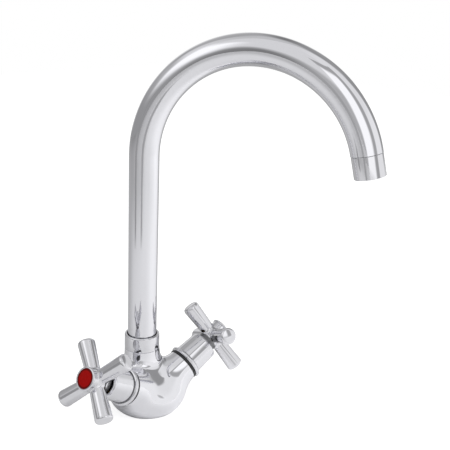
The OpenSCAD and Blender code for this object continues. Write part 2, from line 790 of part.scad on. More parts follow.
body();
foot_seal();
slide_ring();
collar_nut();
headwork(hot);  // hot_headwork
fixed_disc(hot);  // hot_fixed_disc
seat_seal(hot);  // hot_seat_seal
washer(hot);  // hot_washer
shroud(hot);  // hot_shroud
headwork(cold);  // cold_headwork
fixed_disc(cold);  // cold_fixed_disc
seat_seal(cold);  // cold_seat_seal
washer(cold);  // cold_washer
shroud(cold);  // cold_shroud
spout_tube();
spout_spigot();
spigot_seals();
snap_ring();
outlet_bush();
outlet_cap();
outlet_washer();
flow_insert();
outlet_screen();
handle(hot);  // hot_handle
spline_insert(hot);  // hot_spline_insert
handle_screw(hot);  // hot_handle_screw
index_disc(hot);  // hot_index_disc
spindle(hot);  // hot_spindle
spindle_seals(hot);  // hot_spindle_seals
spindle_clip(hot);  // hot_spindle_clip
turning_disc(hot);  // hot_turning_disc
handle(cold);  // cold_handle
spline_insert(cold);  // cold_spline_insert
handle_screw(cold);  // cold_handle_screw
index_disc(cold);  // cold_index_disc
spindle(cold);  // cold_spindle
spindle_seals(cold);  // cold_spindle_seals
spindle_clip(cold);  // cold_spindle_clip
turning_disc(cold);  // cold_turning_disc
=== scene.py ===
"""Visual model of a kitchen mixer tap with a swan-neck spout and two cross handles.

Lengths of the tap are in millimetres, as on a drawing, and those of the studio in metres.
The tap's frame: origin at the centre of the foot, +Z up, +X to the cold valve, -Y to the front.
"""
from __future__ import annotations

import logging
import math
from dataclasses import dataclass, field
from enum import Enum
from typing import Callable, Sequence

import bmesh
import bpy
import numpy as np
from mathutils import Matrix, Vector


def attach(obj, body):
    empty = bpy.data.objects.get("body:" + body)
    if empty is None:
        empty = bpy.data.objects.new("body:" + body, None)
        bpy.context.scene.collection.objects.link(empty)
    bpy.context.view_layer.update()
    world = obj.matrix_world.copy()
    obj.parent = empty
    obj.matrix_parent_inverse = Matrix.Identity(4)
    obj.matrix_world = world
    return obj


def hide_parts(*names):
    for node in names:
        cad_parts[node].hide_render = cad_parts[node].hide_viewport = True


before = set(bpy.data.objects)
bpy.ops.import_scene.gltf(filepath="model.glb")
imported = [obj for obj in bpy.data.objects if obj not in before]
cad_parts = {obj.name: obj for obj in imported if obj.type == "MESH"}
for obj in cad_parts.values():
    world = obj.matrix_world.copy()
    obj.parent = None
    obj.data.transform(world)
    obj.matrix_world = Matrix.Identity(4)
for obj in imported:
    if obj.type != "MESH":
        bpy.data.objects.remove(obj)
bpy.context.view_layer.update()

log = logging.getLogger("mixer_tap")

# One millimetre in metres
MM = 0.001
# Edges with a larger angle than this, in degrees, are shaded sharp
SHARP = 32.0
# Vertices that lie closer together than this become one
MERGE = 0.002
# Rounding of an edge that hardly shows
EDGE = 0.1
# How far a cutter reaches past the face that it opens
PAST = 2.0
# Plain white light
WHITE = (1.0, 1.0, 1.0, 1.0)

# (radius, height) of each point of a closed outline
Outline = list[tuple[float, float]]
# Vertex numbers of each face
Faces = list[tuple[int, ...]]
# (width, squareness) of each ring of a patch
Rings = list[tuple[float, float]]
# A distance, or a like measure, that points have: negative inside a region
Field = Callable[[np.ndarray], np.ndarray]
# What a node's input takes
Value = bpy.types.NodeSocket | float


class Side(Enum):
    """The two valves of the tap."""

    HOT = -1
    COLD = 1

    @property
    def label(self) -> str:
        """The word that the names of this side's pieces start with."""
        return self.name.lower()


class Body(Enum):
    """The rigid bodies that pieces ride on."""

    TAP = "tap_body"
    SPOUT = "spout"
    HOT_TURN = "hot_turn"
    COLD_TURN = "cold_turn"


class Slot(Enum):
    """The record's material slots that the new pieces stand for."""

    BODY = "chrome_body"
    TUBE = "chrome_tube"
    TRIM = "chrome"
    HANDLE = "chrome_handle"
    WASHER = "black_plastic"
    HOT_DISC = "red_plastic"
    COLD_DISC = "blue_plastic"


# Placing


def shift(x: float, y: float, z: float) -> np.ndarray:
    """Makes a 4 x 4 matrix that moves points.

    Args:
        x: How far to the cold side, in millimetres.
        y: How far to the back.
        z: How far up.

    Returns:
        The matrix.
    """
    place = np.eye(4)
    place[:3, 3] = (x, y, z)
    return place


def turn(axis: str, degrees: float) -> np.ndarray:
    """A 4 x 4 matrix that turns about one of the axes "X", "Y" or "Z"."""
    return np.array(Matrix.Rotation(math.radians(degrees), 4, axis))


@dataclass(frozen=True)
class Layout:
    """Where the axes of the tap lie, in millimetres and degrees.

    Attributes:
        swivel_back: How far behind the centre of the foot the swivel axis stands.
        meet_y: How far behind the centre of the foot the valve axes meet.
        meet_z: Height at which the valve axes meet.
        valve_tilt: How far each valve axis rises.
        valve_sweep: How far each valve axis leans to the front.
        spout_turn: Direction of the spout, from +X towards +Y.
        arch_h: Height of the centre of the arch.
        arch_r: Radius of the arch along the middle of the tube.
        arch_turn: How far the arch turns.
        handle_turn: How far round the hot handle stands.
        tooth: One tooth of the splines in the handles.
    """

    swivel_back: float = 7.2
    meet_y: float = -8.0
    meet_z: float = 13.4
    valve_tilt: float = 29.0
    valve_sweep: float = 5.0
    spout_turn: float = -63.5
    arch_h: float = 215.0
    arch_r: float = 88.0
    arch_turn: float = 166.5
    handle_turn: float = 45.0
    tooth: float = 18.0

    def valve(self, side: Side) -> np.ndarray:
        """The frame of a valve: Z runs outwards from where the two valve axes meet."""
        sweep = -self.valve_sweep if side is Side.COLD else 180.0 + self.valve_sweep
        return (
            shift(0.0, self.meet_y, self.meet_z)
            @ turn("Z", sweep)
            @ turn("Y", 90.0 - self.valve_tilt)
        )

    def valve_dir(self, side: Side) -> np.ndarray:
        """The outward unit vector along a valve's axis."""
        return self.valve(side)[:3, 2]

    def swivel(self, degrees: float = 0.0) -> np.ndarray:
        """The frame of the spout's swivel axis, turned by some degrees."""
        return shift(0.0, self.swivel_back, 0.0) @ turn("Z", degrees)

    def outlet(self) -> np.ndarray:
        """The frame of the tube's end.

        Returns:
            A frame whose origin is the middle of the tube's end and whose Z runs out of it.
        """
        drop = 180.0 - self.arch_turn
        x = self.arch_r + self.arch_r * math.cos(math.radians(drop))
        z = self.arch_h + self.arch_r * math.sin(math.radians(drop))
        return self.swivel(self.spout_turn) @ shift(x, 0.0, z) @ turn("Y", 180.0 - drop)

    def rest_turn(self, side: Side) -> float:
        """How far round a handle stands: the cold one sits a tooth further on its spline."""
        return self.handle_turn + (self.tooth if side is Side.COLD else 0.0)


LAYOUT = Layout()


def seen_from(place: np.ndarray, p: np.ndarray) -> np.ndarray:
    """Points of the tap in the coordinates of a frame."""
    return (p - place[:3, 3]) @ place[:3, :3]


# Meshes


def add_to_scene(name: str, data: bpy.types.ID) -> bpy.types.Object:
    """Makes an object at the origin of the scene.

    Args:
        name: The object's name.
        data: Its mesh, lamp or camera.

    Returns:
        The new object.
    """
    obj = bpy.data.objects.new(name, data)
    bpy.context.scene.collection.objects.link(obj)
    return obj


def shade(mesh: bpy.types.Mesh, sharp: float = SHARP) -> None:
    """Shades a mesh smooth, except at edges with a larger angle than sharp, in degrees."""
    mesh.shade_smooth()
    mesh.set_sharp_from_angle(angle=math.radians(sharp))


def make_object(
    name: str, points: np.ndarray, faces: Faces, place: np.ndarray, sharp: float = SHARP
) -> bpy.types.Object:
    """Makes a smooth-shaded closed mesh from points in millimetres.

    Args:
        name: The piece's name.
        points: One row per vertex, in the frame that place describes.
        faces: Vertex numbers of each face.
        place: The frame of the points in the tap.
        sharp: Edges with a larger angle than this, in degrees, stay sharp.

    Returns:
        The new object, at the origin, with its place in its mesh.
    """
    world = points @ place[:3, :3].T + place[:3, 3]
    mesh = bpy.data.meshes.new(name)
    mesh.from_pydata([tuple(p) for p in world * MM], [], faces)
    bm = bmesh.new()
    bm.from_mesh(mesh)
    bmesh.ops.remove_doubles(bm, verts=bm.verts, dist=MERGE * MM)
    bmesh.ops.recalc_face_normals(bm, faces=bm.faces)
    bm.to_mesh(mesh)
    bm.free()
    shade(mesh, sharp)
    return add_to_scene(name, mesh)


def arc(x: float, y: float, r: float, start: float, end: float, n: int = 8) -> Outline:
    """Points of an arc about (x, y), from the angle start to the angle end in degrees."""
    steps = np.radians(np.linspace(start, end, n + 1))
    return [(x + r * math.cos(t), y + r * math.sin(t)) for t in steps]


def rounded(
    corners: Sequence[tuple[float, float, float]], n: int = 7, straight: float = 176.0
) -> Outline:
    """Rounds the corners of a closed outline.

    Args:
        corners: (radius, height, rounding) of each corner, in order.
        n: Steps in each rounded corner.
        straight: A corner that is opened further than this, in degrees, is left as it is.

    Returns:
        The outline with an arc in place of each corner whose rounding isn't zero.
    """
    out: Outline = []
    for i, (x, y, r) in enumerate(corners):
        here = np.array([x, y])
        before = np.array(corners[i - 1][:2]) - here
        after = np.array(corners[(i + 1) % len(corners)][:2]) - here
        before /= np.linalg.norm(before)
        after /= np.linalg.norm(after)
        half = math.acos(float(np.clip(before @ after, -1.0, 1.0))) / 2.0
        if r <= 0.0 or half > math.radians(straight) / 2.0:
            out.append((x, y))
            continue
        middle = (before + after) / np.linalg.norm(before + after)
        centre = here + middle * r / math.sin(half)
        a = here + before * r / math.tan(half) - centre
        b = here + after * r / math.tan(half) - centre
        start = math.atan2(a[1], a[0])
        sweep = (math.atan2(b[1], b[0]) - start + math.pi) % (2.0 * math.pi) - math.pi
        out += arc(centre[0], centre[1], r, math.degrees(start), math.degrees(start + sweep), n)
    return out


def lathe(
    name: str, outline: Outline, place: np.ndarray, steps: int = 128, sharp: float = SHARP
) -> bpy.types.Object:
    """Turns a closed outline of (radius, height) points about the Z axis of a frame.

    Args:
        name: The piece's name.
        outline: The closed outline; points on the axis become single vertices.
        place: The frame of the outline in the tap.
        steps: How many steps the full turn has.
        sharp: Edges with a larger angle than this, in degrees, stay sharp.

    Returns:
        The new object.
    """
    points: list[tuple[float, float, float]] = []
    rings: list[list[int]] = []
    for r, z in outline:
        if math.isclose(r, 0.0, abs_tol=1e-6):
            rings.append([len(points)] * steps)
            points.append((0.0, 0.0, z))
            continue
        rings.append([len(points) + k for k in range(steps)])
        for k in range(steps):
            t = 2.0 * math.pi * k / steps
            points.append((r * math.cos(t), r * math.sin(t), z))
    faces: Faces = []
    for i, low in enumerate(rings):
        high = rings[(i + 1) % len(rings)]
        for k in range(steps):
            corners = (low[k], low[(k + 1) % steps], high[(k + 1) % steps], high[k])
            face = tuple(dict.fromkeys(corners))
            if len(face) > 2:
                faces.append(face)
    return make_object(name, np.array(points), faces, place, sharp)


def skin(rows: int, n: int, first: int = 0, closed: bool = False) -> Faces:
    """Joins rows of points that each go once round.

    Args:
        rows: How many rows there are.
        n: How many points each row has.
        first: Number of the first point of the first row.
        closed: Whether the last row is joined to the first one too.

    Returns:
        The faces between the rows.
    """
    faces: Faces = []
    for i in range(rows if closed else rows - 1):
        low = first + i * n
        high = first + (i + 1) % rows * n
        for k in range(n):
            m = (k + 1) % n
            faces.append((low + k, low + m, high + m, high + k))
    return faces


def fan(tip: int, first: int, n: int) -> Faces:
    """The faces between one point and a row of n points."""
    return [(first + k, first + (k + 1) % n, tip) for k in range(n)]


def march(
    inside: Field,
    centre: np.ndarray,
    dirs: np.ndarray,
    far: float,
    near: float = 0.5,
    halvings: int = 40,
) -> np.ndarray:
    """Finds where rays from a centre leave a shape that all lies in view of that centre.

    Args:
        inside: A distance that is negative inside the shape.
        centre: The point that the rays start from.
        dirs: One unit vector per ray.
        far: A distance that is outside the shape in every direction.
        near: A distance that is inside it in every direction.
        halvings: How often the way between the two is halved.

    Returns:
        One point of the surface per ray.
    """
    low = np.full(len(dirs), near)
    high = np.full(len(dirs), far)
    for _ in range(halvings):
        mid = (low + high) / 2.0
        held = inside(centre + mid[:, None] * dirs) < 0.0
        low = np.where(held, mid, low)
        high = np.where(held, high, mid)
    return centre + ((low + high) / 2.0)[:, None] * dirs


def soft_min(values: Sequence[np.ndarray], k: float) -> np.ndarray:
    """The smooth minimum of several distances, softer where k is larger."""
    least = np.minimum.reduce(values)
    return least - k * np.log(sum(np.exp(-(v - least) / k) for v in values))


def bar(p: np.ndarray, a: np.ndarray, b: np.ndarray, ra: float, rb: float) -> np.ndarray:
    """Distance from points to a round-ended bar.

    Args:
        p: The points, one per row.
        a: Where the bar starts.
        b: Where it ends.
        ra: Its radius at a.
        rb: Its radius at b.

    Returns:
        One distance per point, negative inside the bar.
    """
    run = b - a
    t = np.clip((p - a) @ run / (run @ run), 0.0, 1.0)
    return np.linalg.norm(p - a - t[:, None] * run, axis=1) - ra - (rb - ra) * t


def filleted(a: np.ndarray, b: np.ndarray, r: float) -> np.ndarray:
    """The union of two distances with a round fillet of radius r between them."""
    reach = np.hypot(np.maximum(r - a, 0.0), np.maximum(r - b, 0.0))
    return np.maximum(r, np.minimum(a, b)) - reach


def eased(a: np.ndarray, b: np.ndarray, r: float) -> np.ndarray:
    """The overlap of two distances with an outer edge rounded to radius r."""
    reach = np.hypot(np.maximum(r + a, 0.0), np.maximum(r + b, 0.0))
    return np.minimum(-r, np.maximum(a, b)) + reach


def carve(obj: bpy.types.Object, cutters: Sequence[bpy.types.Object]) -> None:
    """Cuts closed cutter objects out of a closed object, and removes the cutters.

    Args:
        obj: The object that is cut, which gets a new mesh.
        cutters: What is cut out of it.
    """
    for cutter in cutters:
        cut = obj.modifiers.new("cut", "BOOLEAN")
        cut.operation = "DIFFERENCE"
        cut.solver = "EXACT"
        cut.object = cutter
    depsgraph = bpy.context.evaluated_depsgraph_get()
    mesh = bpy.data.meshes.new_from_object(obj.evaluated_get(depsgraph))
    obj.modifiers.clear()
    old = obj.data
    obj.data = mesh
    bpy.data.meshes.remove(old)
    for cutter in cutters:
        data = cutter.data
        bpy.data.objects.remove(cutter)
        bpy.data.meshes.remove(data)
    shade(mesh)


def plug(place: np.ndarray, d: float, z0: float, z1: float, steps: int = 96) -> bpy.types.Object:
    """A plain round cutter of diameter d from height z0 to z1 of a frame."""
    return lathe("cutter", [(0.0, z0), (d / 2, z0), (d / 2, z1), (0.0, z1)], place, steps)


# Finishes


@dataclass(frozen=True)
class Shading:
    """Adds nodes to the node tree of a material or a world.

    Attributes:
        tree: The node tree.
    """

    tree: bpy.types.NodeTree

    @classmethod
    def blank(cls, owner: bpy.types.Material | bpy.types.World) -> Shading:
        """Empties the node tree of a material or a world.

        Args:
            owner: The material or world.

        Returns:
            The helper for its node tree.
        """
        owner.use_nodes = True
        owner.node_tree.nodes.clear()
        return cls(owner.node_tree)

    def add(self, kind: str) -> bpy.types.Node:
        """One new node of some kind."""
        return self.tree.nodes.new(kind)

    def feed(self, value: Value, socket: bpy.types.NodeSocket) -> None:
        """Gives an input its value.

        Args:
            value: A number, or the output that the input is linked to.
            socket: The input.
        """
        if isinstance(value, float):
            socket.default_value = value
        else:
            self.tree.links.new(value, socket)

    def math(self, operation: str, a: Value, b: Value = 0.0) -> bpy.types.NodeSocket:
        """Adds one arithmetic node.

        Args:
            operation: What it does, in Blender's word for it.
            a: The first value.
            b: The second one, which some operations don't use.

        Returns:
            The output with the result.
        """
        node = self.add("ShaderNodeMath")
        node.operation = operation
        self.feed(a, node.inputs[0])
        self.feed(b, node.inputs[1])
        return node.outputs["Value"]

    def product(self, first: Value, *others: Value) -> Value:
        """Multiplies values.

        Args:
            first: The first value.
            *others: The values that it is multiplied by, one after another.

        Returns:
            The output with the result, or the first value where there are no others.
        """
        for other in others:
            first = self.math("MULTIPLY", first, other)
        return first

    def unless(self, share: Value) -> bpy.types.NodeSocket:
        """One less a value: what is left beside a share."""
        return self.math("SUBTRACT", 1.0, share)

    def tone(self, cover: Value, level: float) -> bpy.types.NodeSocket:
        """A level where a cover is 1, and 1 where it is 0."""
        return self.unless(self.product(cover, 1.0 - level))

    def ramp(self, value: Value, start: float, run: float) -> bpy.types.NodeSocket:
        """Adds a smooth step.

        Args:
            value: The value that is stepped.
            start: Where the result is 0.
            run: How much further it is 1; below zero, the step falls.

        Returns:
            The output with the result.
        """
        node = self.add("ShaderNodeMapRange")
        node.interpolation_type = "SMOOTHSTEP"
        node.inputs["From Min"].default_value = start
        node.inputs["From Max"].default_value = start + run
        self.feed(value, node.inputs["Value"])
        return node.outputs["Result"]

    def band(self, value: Value, low: float, high: float, soft: float) -> Value:
        """1 where a value lies between low and high and 0 outside, over a border of some width."""
        over = self.ramp(value, low - soft / 2, soft)
        return self.product(over, self.ramp(value, high + soft / 2, -soft))

    def sector(self, x: Value, y: Value, azimuth: float, half: float, soft: float) -> Value:
        """Marks the directions that lie in a sector.

        Args:
            x: The direction's X.
            y: The direction's Y.
            azimuth: The middle of the sector, in degrees from +X towards +Y.
            half: Half its width in degrees.
            soft: The width of its soft sides in degrees.

        Returns:
            The output that is 1 inside and 0 outside.
        """
        off = self.math("SUBTRACT", self.math("ARCTAN2", y, x), math.radians(azimuth))
        away = self.math("ARCCOSINE", self.math("COSINE", off))
        edge = math.radians(soft)
        return self.ramp(away, math.radians(half) + edge / 2, -edge)

    def coords(self, output: str) -> bpy.types.NodeSocket:
        """One of the texture coordinates."""
        return self.add("ShaderNodeTexCoord").outputs[output]

    def split(self, output: str) -> bpy.types.bpy_prop_collection:
        """Takes one of the texture coordinates apart.

        Args:
            output: Which of them.

        Returns:
            The outputs X, Y and Z.
        """
        node = self.add("ShaderNodeSeparateXYZ")
        self.feed(self.coords(output), node.inputs["Vector"])
        return node.outputs

    def noise(self, where: Value, size: float, detail: float) -> bpy.types.NodeSocket:
        """Adds a noise texture.

        Args:
            where: The coordinates that it is laid out in.
            size: About how wide its blotches are, in millimetres.
            detail: How many finer layers it has.

        Returns:
            The output with the noise, from 0 to 1.
        """
        node = self.add("ShaderNodeTexNoise")
        node.inputs["Scale"].default_value = 1.0 / (size * MM)
        node.inputs["Detail"].default_value = detail
        self.feed(where, node.inputs["Vector"])
        return node.outputs["Fac"]

    def surface(self, shader: bpy.types.NodeSocket, kind: str = "Material") -> None:
        """Links a shader to the output of the material or the world."""
        self.feed(shader, self.add(f"ShaderNodeOutput{kind}").inputs["Surface"])


@dataclass(frozen=True)
class Finish:
    """A surface finish, built as a procedural material.

    Attributes:
        name: The material's name.
        colour: Linear base colour.
        tint: Linear colour of the faint blotches in it.
        metallic: 1 for a metal.
        smooth: Roughness of the cleanest places.
        dull: Roughness of the dullest places.
        grain: Size of the fine grain in millimetres.
        grain_depth: Depth of that grain in millimetres.
        wave: Size of the slow waviness in millimetres.
        wave_depth: Depth of that waviness in millimetres.
        drawn: Name of the mesh attribute along which the waviness is drawn out.
        shine: Strength of the plain reflection of a surface that isn't a metal.
        blotch: Size of the blotches against the waviness.
        wipe: Size of the duller places against the grain.
        wiped: Levels of noise below which a place is clean and above which it is dull.
    """

    name: str
    colour: tuple[float, float, float]
    tint: tuple[float, float, float]
    metallic: float = 0.0
    smooth: float = 0.3
    dull: float = 0.45
    grain: float = 0.6
    grain_depth: float = 0.01
    wave: float = 30.0
    wave_depth: float = 0.0
    drawn: str = ""
    shine: float = 0.5
    blotch: float = 1.0 / 3.0
    wipe: float = 9.0
    wiped: tuple[float, float] = (0.35, 0.75)

    def material(self) -> bpy.types.Material:
        """Builds the material, or gives back the one that was built before.

        Returns:
            The material.
        """
        known = bpy.data.materials.get(self.name)
        if known is not None:
            return known
        mat = bpy.data.materials.new(self.name)
        at = Shading.blank(mat)
        shader = at.add("ShaderNodeBsdfPrincipled")
        at.feed(self.metallic, shader.inputs["Metallic"])
        at.feed(self.shine, shader.inputs["Specular IOR Level"])
        where = at.coords("Object")
        at.feed(self._blotches(at, where), shader.inputs["Base Color"])
        at.feed(self._wipes(at, where), shader.inputs["Roughness"])
        relief = self._relief(at, where, self.grain, self.grain_depth)
        if self.wave_depth > 0.0:
            if self.drawn:
                along = at.add("ShaderNodeAttribute")
                along.attribute_name = self.drawn
                where = along.outputs["Vector"]
            relief = self._relief(at, where, self.wave, self.wave_depth, relief)
        at.feed(relief, shader.inputs["Normal"])
        at.surface(shader.outputs["BSDF"])
        return mat

    def _blotches(self, at: Shading, where: Value) -> bpy.types.NodeSocket:
        """The colour, mixed with its tint in faint blotches.

        Args:
            at: The helper for the material's nodes.
            where: The coordinates of the blotches.

        Returns:
            The output with the colour.
        """
        mix = at.add("ShaderNodeMix")
        mix.data_type = "RGBA"
        mix.inputs["A"].default_value = (*self.colour, 1.0)
        mix.inputs["B"].default_value = (*self.tint, 1.0)
        at.feed(at.noise(where, self.wave * self.blotch, detail=3.0), mix.inputs["Factor"])
        return mix.outputs["Result"]

    def _wipes(self, at: Shading, where: Value) -> bpy.types.NodeSocket:
        """The roughness, which runs from smooth to dull as where a cloth has been.

        Args:
            at: The helper for the material's nodes.
            where: The coordinates of the duller places.

        Returns:
            The output with the roughness.
        """
        rough = at.add("ShaderNodeMapRange")
        clean, wiped = self.wiped
        limits = {"From Min": clean, "From Max": wiped, "To Min": self.smooth, "To Max": self.dull}
        for name, limit in limits.items():
            at.feed(limit, rough.inputs[name])
        at.feed(at.noise(where, self.grain * self.wipe, detail=6.0), rough.inputs["Value"])
        return rough.outputs["Result"]

    @staticmethod
    def _relief(
        at: Shading, where: Value, size: float, depth: float, under: Value | None = None
    ) -> bpy.types.NodeSocket:
        """Adds relief to a surface.

        Args:
            at: The helper for the material's nodes.
            where: The coordinates of the relief.
            size: Its size in millimetres.
            depth: Its depth in millimetres.
            under: The relief that it comes on top of.

        Returns:
            The output with the normal.
        """
        bump = at.add("ShaderNodeBump")
        at.feed(1.0, bump.inputs["Strength"])
        at.feed(depth * MM, bump.inputs["Distance"])
        at.feed(at.noise(where, size, detail=2.0), bump.inputs["Height"])
        if under is not None:
            at.feed(under, bump.inputs["Normal"])
        return bump.outputs["Normal"]


@dataclass(frozen=True)
class Finishes:
    """All the finishes of the tap."""

    body_chrome: Finish = Finish(
        "cast_chrome", (0.84, 0.84, 0.875), (0.81, 0.81, 0.845), 1.0, 0.035, 0.07,
        grain=0.5, grain_depth=0.0004, wave=16.0, wave_depth=0.02,
    )
    tube_chrome: Finish = Finish(
        "tube_chrome", (0.82, 0.82, 0.855), (0.79, 0.79, 0.825), 1.0, 0.03, 0.07,
        grain=0.5, grain_depth=0.0004, wave=6.0, wave_depth=0.15, drawn="drawn_along",
    )
    trim_chrome: Finish = Finish(
        "trim_chrome", (0.78, 0.78, 0.81), (0.74, 0.74, 0.77), 1.0, 0.03, 0.06,
        grain=0.4, grain_depth=0.0004, wave=12.0, wave_depth=0.004,
    )
    handle_chrome: Finish = Finish(
        "handle_chrome", (0.78, 0.78, 0.81), (0.73, 0.73, 0.76), 1.0, 0.04, 0.08,
        grain=0.4, grain_depth=0.0005, wave=9.0, wave_depth=0.006,
    )
    brass: Finish = Finish(
        "turned_brass", (0.62, 0.42, 0.15), (0.50, 0.33, 0.12), 1.0, 0.22, 0.38,
        grain=0.3, grain_depth=0.004, wave=8.0,
    )
    # Dark grey: the outlet bush's plating, and painted shade in the collar's mouth, the bells'
    # bores and grooves and the hubs' skirts.
    plating_and_painted_shade: Finish = Finish(
        "dulled_plating", (0.24, 0.24, 0.25), (0.16, 0.16, 0.167), 1.0, 0.3, 0.45,
        grain=0.3, grain_depth=0.003, wave=8.0,
    )
    steel: Finish = Finish(
        "turned_steel", (0.55, 0.55, 0.56), (0.46, 0.46, 0.47), 1.0, 0.22, 0.36,
        grain=0.25, grain_depth=0.003, wave=8.0,
    )
    ceramic: Finish = Finish(
        "lapped_ceramic", (0.86, 0.85, 0.80), (0.82, 0.80, 0.75), 0.0, 0.12, 0.2,
        grain=0.3, grain_depth=0.001, wave=6.0,
    )
    black_rubber: Finish = Finish(
        "black_rubber", (0.018, 0.018, 0.019), (0.03, 0.03, 0.031), 0.0, 0.45, 0.65,
        grain=0.35, grain_depth=0.012, wave=8.0,
    )
    grey_rubber: Finish = Finish(
        "grey_rubber", (0.09, 0.09, 0.095), (0.12, 0.12, 0.125), 0.0, 0.5, 0.7,
        grain=0.35, grain_depth=0.012, wave=9.0,
    )
    black_plastic: Finish = Finish(
        "black_washer_plastic", (0.008, 0.008, 0.009), (0.014, 0.014, 0.015), 0.0, 0.35, 0.5,
        grain=0.4, grain_depth=0.006, wave=8.0,
    )
    white_plastic: Finish = Finish(
        "white_bearing_plastic", (0.78, 0.78, 0.75), (0.72, 0.72, 0.69), 0.0, 0.3, 0.45,
        grain=0.4, grain_depth=0.006, wave=7.0,
    )
    grey_plastic: Finish = Finish(
        "flow_insert_plastic", (0.42, 0.43, 0.44), (0.36, 0.37, 0.38), 0.0, 0.3, 0.45,
        grain=0.3, grain_depth=0.005, wave=5.0,
    )
    red_disc: Finish = Finish(
        "hot_disc_red", (0.36, 0.004, 0.003), (0.30, 0.003, 0.002), 0.0, 0.22, 0.38,
        grain=0.5, grain_depth=0.002, wave=6.0, shine=0.06,
    )
    # Darker red: painted shade on the rounded edge of the hot index disc.
    red_edge_shade: Finish = Finish(
        "hot_disc_red_edge", (0.16, 0.004, 0.003), (0.12, 0.003, 0.002), 0.0, 0.22, 0.38,
        grain=0.5, grain_depth=0.002, wave=6.0, shine=0.06,
    )
    blue_disc: Finish = Finish(
        "cold_disc_blue", (0.004, 0.05, 0.38), (0.003, 0.04, 0.30), 0.0, 0.22, 0.38,
        grain=0.5, grain_depth=0.002, wave=6.0, shine=0.06,
    )
    # Darker blue: painted shade on the rounded edge of the cold index disc.
    blue_edge_shade: Finish = Finish(
        "cold_disc_blue_edge", (0.003, 0.02, 0.14), (0.003, 0.016, 0.11), 0.0, 0.22, 0.38,
        grain=0.5, grain_depth=0.002, wave=6.0, shine=0.06,
    )


FINISH = Finishes()


def dress(
    obj: bpy.types.Object, finish: Finish, slot: Slot, body: Body, *replaced: str
) -> None:
    """Gives a new piece its finish, its body and the CAD nodes that it stands for.

    Args:
        obj: The piece.
        finish: Its finish.
        slot: The record's material slot that it stands for; not used.
        body: The rigid body that it rides on.
        *replaced: Names of the CAD nodes that it stands for.
    """
    obj.data.materials.clear()
    obj.data.materials.append(finish.material())
    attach(obj, body.value)
    if replaced:
        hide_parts(*replaced)
    log.info("%s: %d faces, on %s", obj.name, len(obj.data.polygons), body.value)


def line_with(obj: bpy.types.Object, finish: Finish, inside: Field) -> None:
    """Gives the faces of a dressed piece that lie inside a region a second finish, here painted
    shade.

    Args:
        obj: The piece.
        finish: The finish of those faces.
        inside: A distance in millimetres that is negative where a face's middle is inside.
    """
    obj.data.materials.append(finish.material())
    middles = np.array([face.center[:] for face in obj.data.polygons]) / MM
    index = (inside(middles) < 0.0).astype(np.int32)
    obj.data.polygons.foreach_set("material_index", index)


def refinish(node: str, finish: Finish) -> None:
    """Gives a CAD node that stays in view its procedural finish.

    Args:
        node: The node's name.
        finish: Its finish.
    """
    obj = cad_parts[node]
    mat = finish.material()
    if not obj.material_slots:
        obj.data.materials.append(mat)
    for material_slot in obj.material_slots:
        material_slot.material = mat
    log.info("%s keeps its solid, in %s", node, finish.name)


# Body and foot


